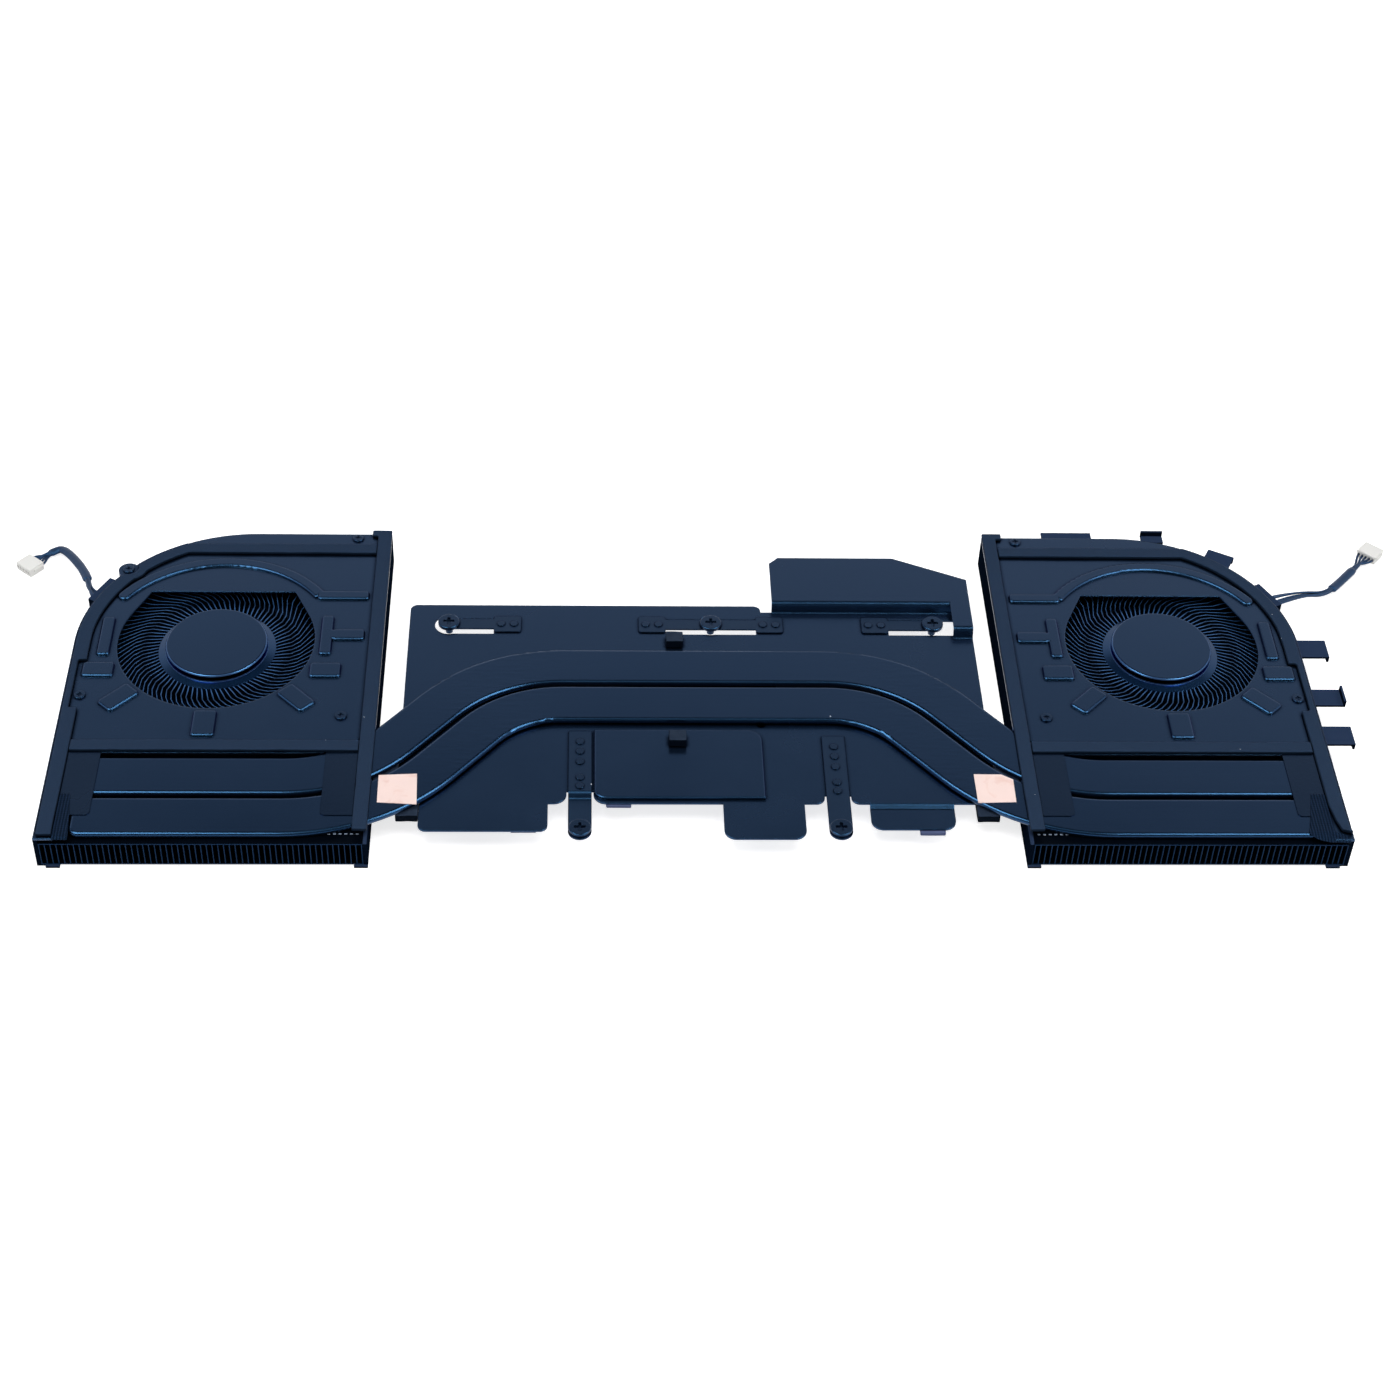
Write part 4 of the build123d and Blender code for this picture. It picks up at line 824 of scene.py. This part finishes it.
def softPiece(nodeName, look):
    rough = bpy.data.objects.new("rough", nodes[nodeName].data.copy())
    scene.collection.objects.link(rough)
    even = rough.modifiers.new("even", "REMESH")
    even.mode = "VOXEL"
    even.voxel_size = look["voxel"]
    soften = rough.modifiers.new("soften", "SMOOTH")
    soften.factor = softCorners["share"]
    soften.iterations = softCorners["rounds"]
    mesh = shapedMesh(rough)
    low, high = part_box(nodeName)
    for vertex in mesh.vertices:
        moved = vertex.co + noise.noise_vector(vertex.co * look["pitch"]) * look["wave"]
        vertex.co = [min(max(m, l), h) for m, l, h in zip(moved, low, high)]
        if nodeName in looseEnds:
            vertex.co = peeled(vertex.co, high[0], looseEnds[nodeName])
    for face in mesh.polygons:
        face.use_smooth = True
    first, *others = nodeName.split("_")
    pieceName = first + "".join(word.capitalize() for word in others)
    piece = addObject(pieceName, mesh, materials[look["finish"]])
    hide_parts(nodeName)


for kind, names in softNodes.items():
    for softName in names:
        softPiece(softName, softLook[kind])
print("foam pieces cut")


# ribbed tape at the outer front corners, pressed down over the pipe ends

tapeLook = {"rib": 0.75, "ribHigh": 0.035, "thick": 0.1, "step": 0.35, "perRib": 8, "spareColumns": 24,
            "fray": 0.12, "frayAcross": 2.3, "frayAlong": 0.2, "frayLayer": 3.0}
tapeRows = {  # along, inner and outer edge from the middle of the part, height at each edge
    "left": [(-44.85, 158.2, 160.75, 10.0, 10.0), (-52.35, 157.4, 160.75, 10.0, 10.0),
             (-59.45, 156.8, 160.75, 9.98, 9.98), (-60.05, 156.85, 160.72, 9.9, 9.9),
             (-60.55, 156.9, 160.7, 9.6, 9.6)],
    "right": [(-44.35, 157.2, 160.75, 10.0, 10.0), (-52.35, 155.6, 160.75, 10.0, 10.0),
              (-57.95, 154.2, 160.75, 9.95, 9.95), (-58.55, 154.3, 163.9, 9.9, 9.72),
              (-59.95, 156.0, 164.3, 9.6, 9.7), (-60.65, 158.0, 164.4, 9.45, 9.45),
              (-60.95, 160.4, 164.5, 9.3, 8.75)],
}


def tapeCut(rows, along):
    for before, after in zip(rows, rows[1:]):
        if along >= after[0]:
            share = (along - before[0]) / (after[0] - before[0])
            return [b + share * (a - b) for b, a in zip(before, after)]
    return list(rows[-1])


def gridRim(grid):
    return [*grid[0], *[row[-1] for row in grid[1:]], *grid[-1][-2::-1], *[row[0] for row in grid[-2:0:-1]]]


def tapeGrid(bm, rows, flip, drop):
    look = tapeLook
    count = round((rows[0][0] - rows[-1][0]) / look["step"])
    columns = round((rows[0][2] - rows[-1][1]) / look["rib"] * look["perRib"]) + look["spareColumns"]
    grid = []
    for line in range(count + 1):
        along, inner, outer, innerHigh, outerHigh = tapeCut(rows, rows[0][0] - line * look["step"])
        spots = []
        for column in range(columns + 1):
            share = column / columns
            x = inner + share * (outer - inner)
            ridge = look["ribHigh"] * math.cos(2 * math.pi * x / look["rib"])
            high = innerHigh + share * (outerHigh - innerHigh) + ridge - drop - look["ribHigh"]
            frayed = Vector((x * look["frayAcross"], line * look["frayAlong"], look["frayLayer"]))
            y = along + look["fray"] * noise.noise(frayed)
            spots.append(bm.verts.new((flip * x * mm + hubPlace["middle"], y * mm, high * mm)))
        grid.append(spots)
    return grid


def buildTape(side, rows):
    flip = 1 if side == "right" else -1
    bm = bmesh.new()
    top, bottom = (tapeGrid(bm, rows, flip, drop) for drop in (0.0, tapeLook["thick"]))
    for upper, grid in ((True, top), (False, bottom)):
        for low, high in zip(grid, grid[1:]):
            for k in range(len(low) - 1):
                quad = (low[k], low[k + 1], high[k + 1], high[k])
                bm.faces.new(quad if upper else quad[::-1])
    edge = list(zip(gridRim(top), gridRim(bottom)))
    for (a, b), (c, d) in zip(edge, edge[1:] + edge[:1]):
        bm.faces.new((a, b, d, c))
    tape = addObject(side + "MeshTape", meshFrom(bm, side + "MeshTape"), materials["mesh"])
    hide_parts(side + "_mesh_tape")


for side, rows in tapeRows.items():
    buildTape(side, rows)

# small lock tabs in a row on the fin tops, in front of the pipe, pale as bare metal with a painted glint

tabLook = {"count": 6, "first": 85.7, "pitch": 1.42, "along": -56.85, "foot": 7.8,
           "wide": 0.7, "deep": 0.35, "high": 0.12}
# pale blue-grey: partly bare metal, partly a painted glint
tabFinish = {"dark": (0.20, 0.27, 0.38), "light": (0.32, 0.39, 0.50), "rough": 0.3, "vary": 0.05,
             "grain": 3000.0, "bump": 0.2}
materials["tab"] = coatedFinish("bareTab", tabFinish)


def buildTabs(side, flip):
    look = tabLook
    bm = bmesh.new()
    for tab in range(look["count"]):
        x = flip * (look["first"] + tab * look["pitch"]) + hubPlace["middle"] / mm
        blockMesh(bm, (look["wide"], look["deep"], look["high"]),
                  (x, look["along"], look["foot"] + look["high"] / 2))
    tabs = addObject(side + "FinTabs", meshFrom(bm, side + "FinTabs", False), materials["tab"])


for side, flip in (("left", -1), ("right", 1)):
    buildTabs(side, flip)
print("tapes and fin tabs laid")


# studio: pale floor, white surroundings, soft lamps

studio = {
    "ambient": 0.36, "ceiling": 0.06, "ceilingFrom": 0.62, "ceilingFull": 0.76,
    "frontShade": 0.6, "frontFull": -0.85, "frontFrom": -0.6,
    "floorColor": (0.80, 0.80, 0.81), "floorRough": 0.9, "floorGlow": 0.74,
    "floorHalf": 3.0, "floorGap": 0.0001,
}
boxColor = (1.0, 0.86, 0.70)  # warm boxes keep the glints on the blue-black coats pale
lampAim = (0.0, 0.0, 0.0)
lamps = {
    "overhead": {"place": (0.0, -0.2, 0.9), "wide": 0.8, "deep": 0.6, "power": 5.3, "gloss": False},
    "leftBox": {"place": (-0.46, -0.28, 0.80), "wide": 0.6, "deep": 0.5, "power": 15.0, "matt": False,
                "color": boxColor},
    "rightBox": {"place": (0.53, -0.28, 0.80), "wide": 0.56, "deep": 0.5, "power": 15.0, "matt": False,
                 "color": boxColor},
    "middleBox": {"place": (0.0, -0.28, 0.80), "wide": 0.3, "deep": 0.5, "power": 0.5, "matt": False,
                  "color": boxColor},
    "leftSoft": {"place": (-0.75, -0.10, 0.60), "wide": 0.4, "deep": 0.4, "power": 1.2},
    "rightSoft": {"place": (0.75, -0.10, 0.60), "wide": 0.4, "deep": 0.4, "power": 1.2},
}


def seenDirectly(tree):
    rays = place(tree, "LightPath")
    seen = sums(tree, "ADD", rays.outputs["Is Camera Ray"], rays.outputs["Is Glossy Ray"])
    return place(tree, "Math", {0: seen, 1: rays.outputs["Is Transmission Ray"]}, operation="ADD",
                 use_clamp=True).outputs[0]


def buildSurround():
    world = bpy.data.worlds.new("studioSurround")
    world.use_nodes = True
    scene.world = world
    tree = world.node_tree
    tree.nodes.clear()
    axes = place(tree, "SeparateXYZ", {0: place(tree, "TexCoord").outputs["Generated"]}).outputs
    towardsCamera = spanned(tree, axes["Y"], studio["frontFull"], studio["frontFrom"],
                            studio["frontShade"], 0.0)
    height = sums(tree, "ADD", axes["Z"], towardsCamera)
    backdrop = spanned(tree, height, studio["ceilingFrom"], studio["ceilingFull"], 1.0, studio["ceiling"])
    mirrored = place(tree, "Mix", {0: seenDirectly(tree), 2: studio["ambient"], 3: backdrop}).outputs[0]
    camera = place(tree, "LightPath").outputs["Is Camera Ray"]
    strength = place(tree, "Mix", {0: camera, 2: mirrored, 3: 1.0}).outputs[0]
    sky = place(tree, "Background", {"Color": (1, 1, 1, 1), "Strength": strength})
    place(tree, "OutputWorld", {"Surface": sky.outputs[0]})


def buildFloor():
    half, low = studio["floorHalf"], -studio["floorGap"]
    mesh = bpy.data.meshes.new("studioFloor")
    corners = [(-half, -half, low), (half, -half, low), (half, half, low), (-half, half, low)]
    mesh.from_pydata(corners, [], [(0, 1, 2, 3)])
    floor = bpy.data.objects.new("studioFloor", mesh)
    scene.collection.objects.link(floor)
    material, tree, shader = startMaterial("paleFloor")
    shader.inputs["Base Color"].default_value = (*studio["floorColor"], 1)
    shader.inputs["Roughness"].default_value = studio["floorRough"]
    shader.inputs["Emission Color"].default_value = (1, 1, 1, 1)
    tree.links.new(product(tree, seenDirectly(tree), studio["floorGlow"]), shader.inputs["Emission Strength"])
    clear = place(tree, "BsdfTransparent")  # from below the floor doesn't hide the underside
    fromBelow = place(tree, "NewGeometry").outputs["Backfacing"]
    shown = place(tree, "MixShader", {0: fromBelow, 1: shader.outputs[0], 2: clear.outputs[0]})
    tree.links.new(shown.outputs[0], tree.get_output_node("ALL").inputs["Surface"])
    mesh.materials.append(material)


def hangLamp(name, values):
    data = bpy.data.lights.new(name, "AREA")
    data.shape = "RECTANGLE"
    data.size = values["wide"]
    data.size_y = values["deep"]
    data.energy = values["power"]
    data.color = values.get("color", (1, 1, 1))
    lamp = bpy.data.objects.new(name, data)
    lamp.location = values["place"]
    lamp.rotation_mode = "QUATERNION"
    lamp.rotation_quaternion = (Vector(lampAim) - Vector(values["place"])).to_track_quat("-Z", "Y")
    lamp.visible_diffuse = values.get("matt", True)
    lamp.visible_glossy = values.get("gloss", True)
    scene.collection.objects.link(lamp)


buildSurround()
buildFloor()
for lampName, lampValues in lamps.items():
    hangLamp(lampName, lampValues)
scene.view_settings.view_transform = "Standard"

shot = {"place": (-0.0328, -0.51535, 0.48516), "yaw": 3.397, "pitch": 43.179, "roll": 2.506,
        "lens": 67.73, "sensor": 36.0}


def aimCamera():
    yaw, pitch, roll = (math.radians(shot[key]) for key in ("yaw", "pitch", "roll"))
    ahead = Vector((math.cos(pitch) * math.sin(yaw), math.cos(pitch) * math.cos(yaw), -math.sin(pitch)))
    level = Vector((math.cos(yaw), -math.sin(yaw), 0))
    lift = level.cross(ahead)
    side = math.cos(roll) * level + math.sin(roll) * lift
    top = math.cos(roll) * lift - math.sin(roll) * level
    turn = Matrix((side, top, -ahead)).transposed().to_4x4()
    data = bpy.data.cameras.new("photoCamera")
    data.lens = shot["lens"]
    data.sensor_width = shot["sensor"]
    camera = bpy.data.objects.new("photoCamera", data)
    camera.matrix_world = Matrix.Translation(Vector(shot["place"])) @ turn
    scene.collection.objects.link(camera)
    scene.camera = camera


aimCamera()
print("studio and camera ready")

bpy.context.view_layer.update()
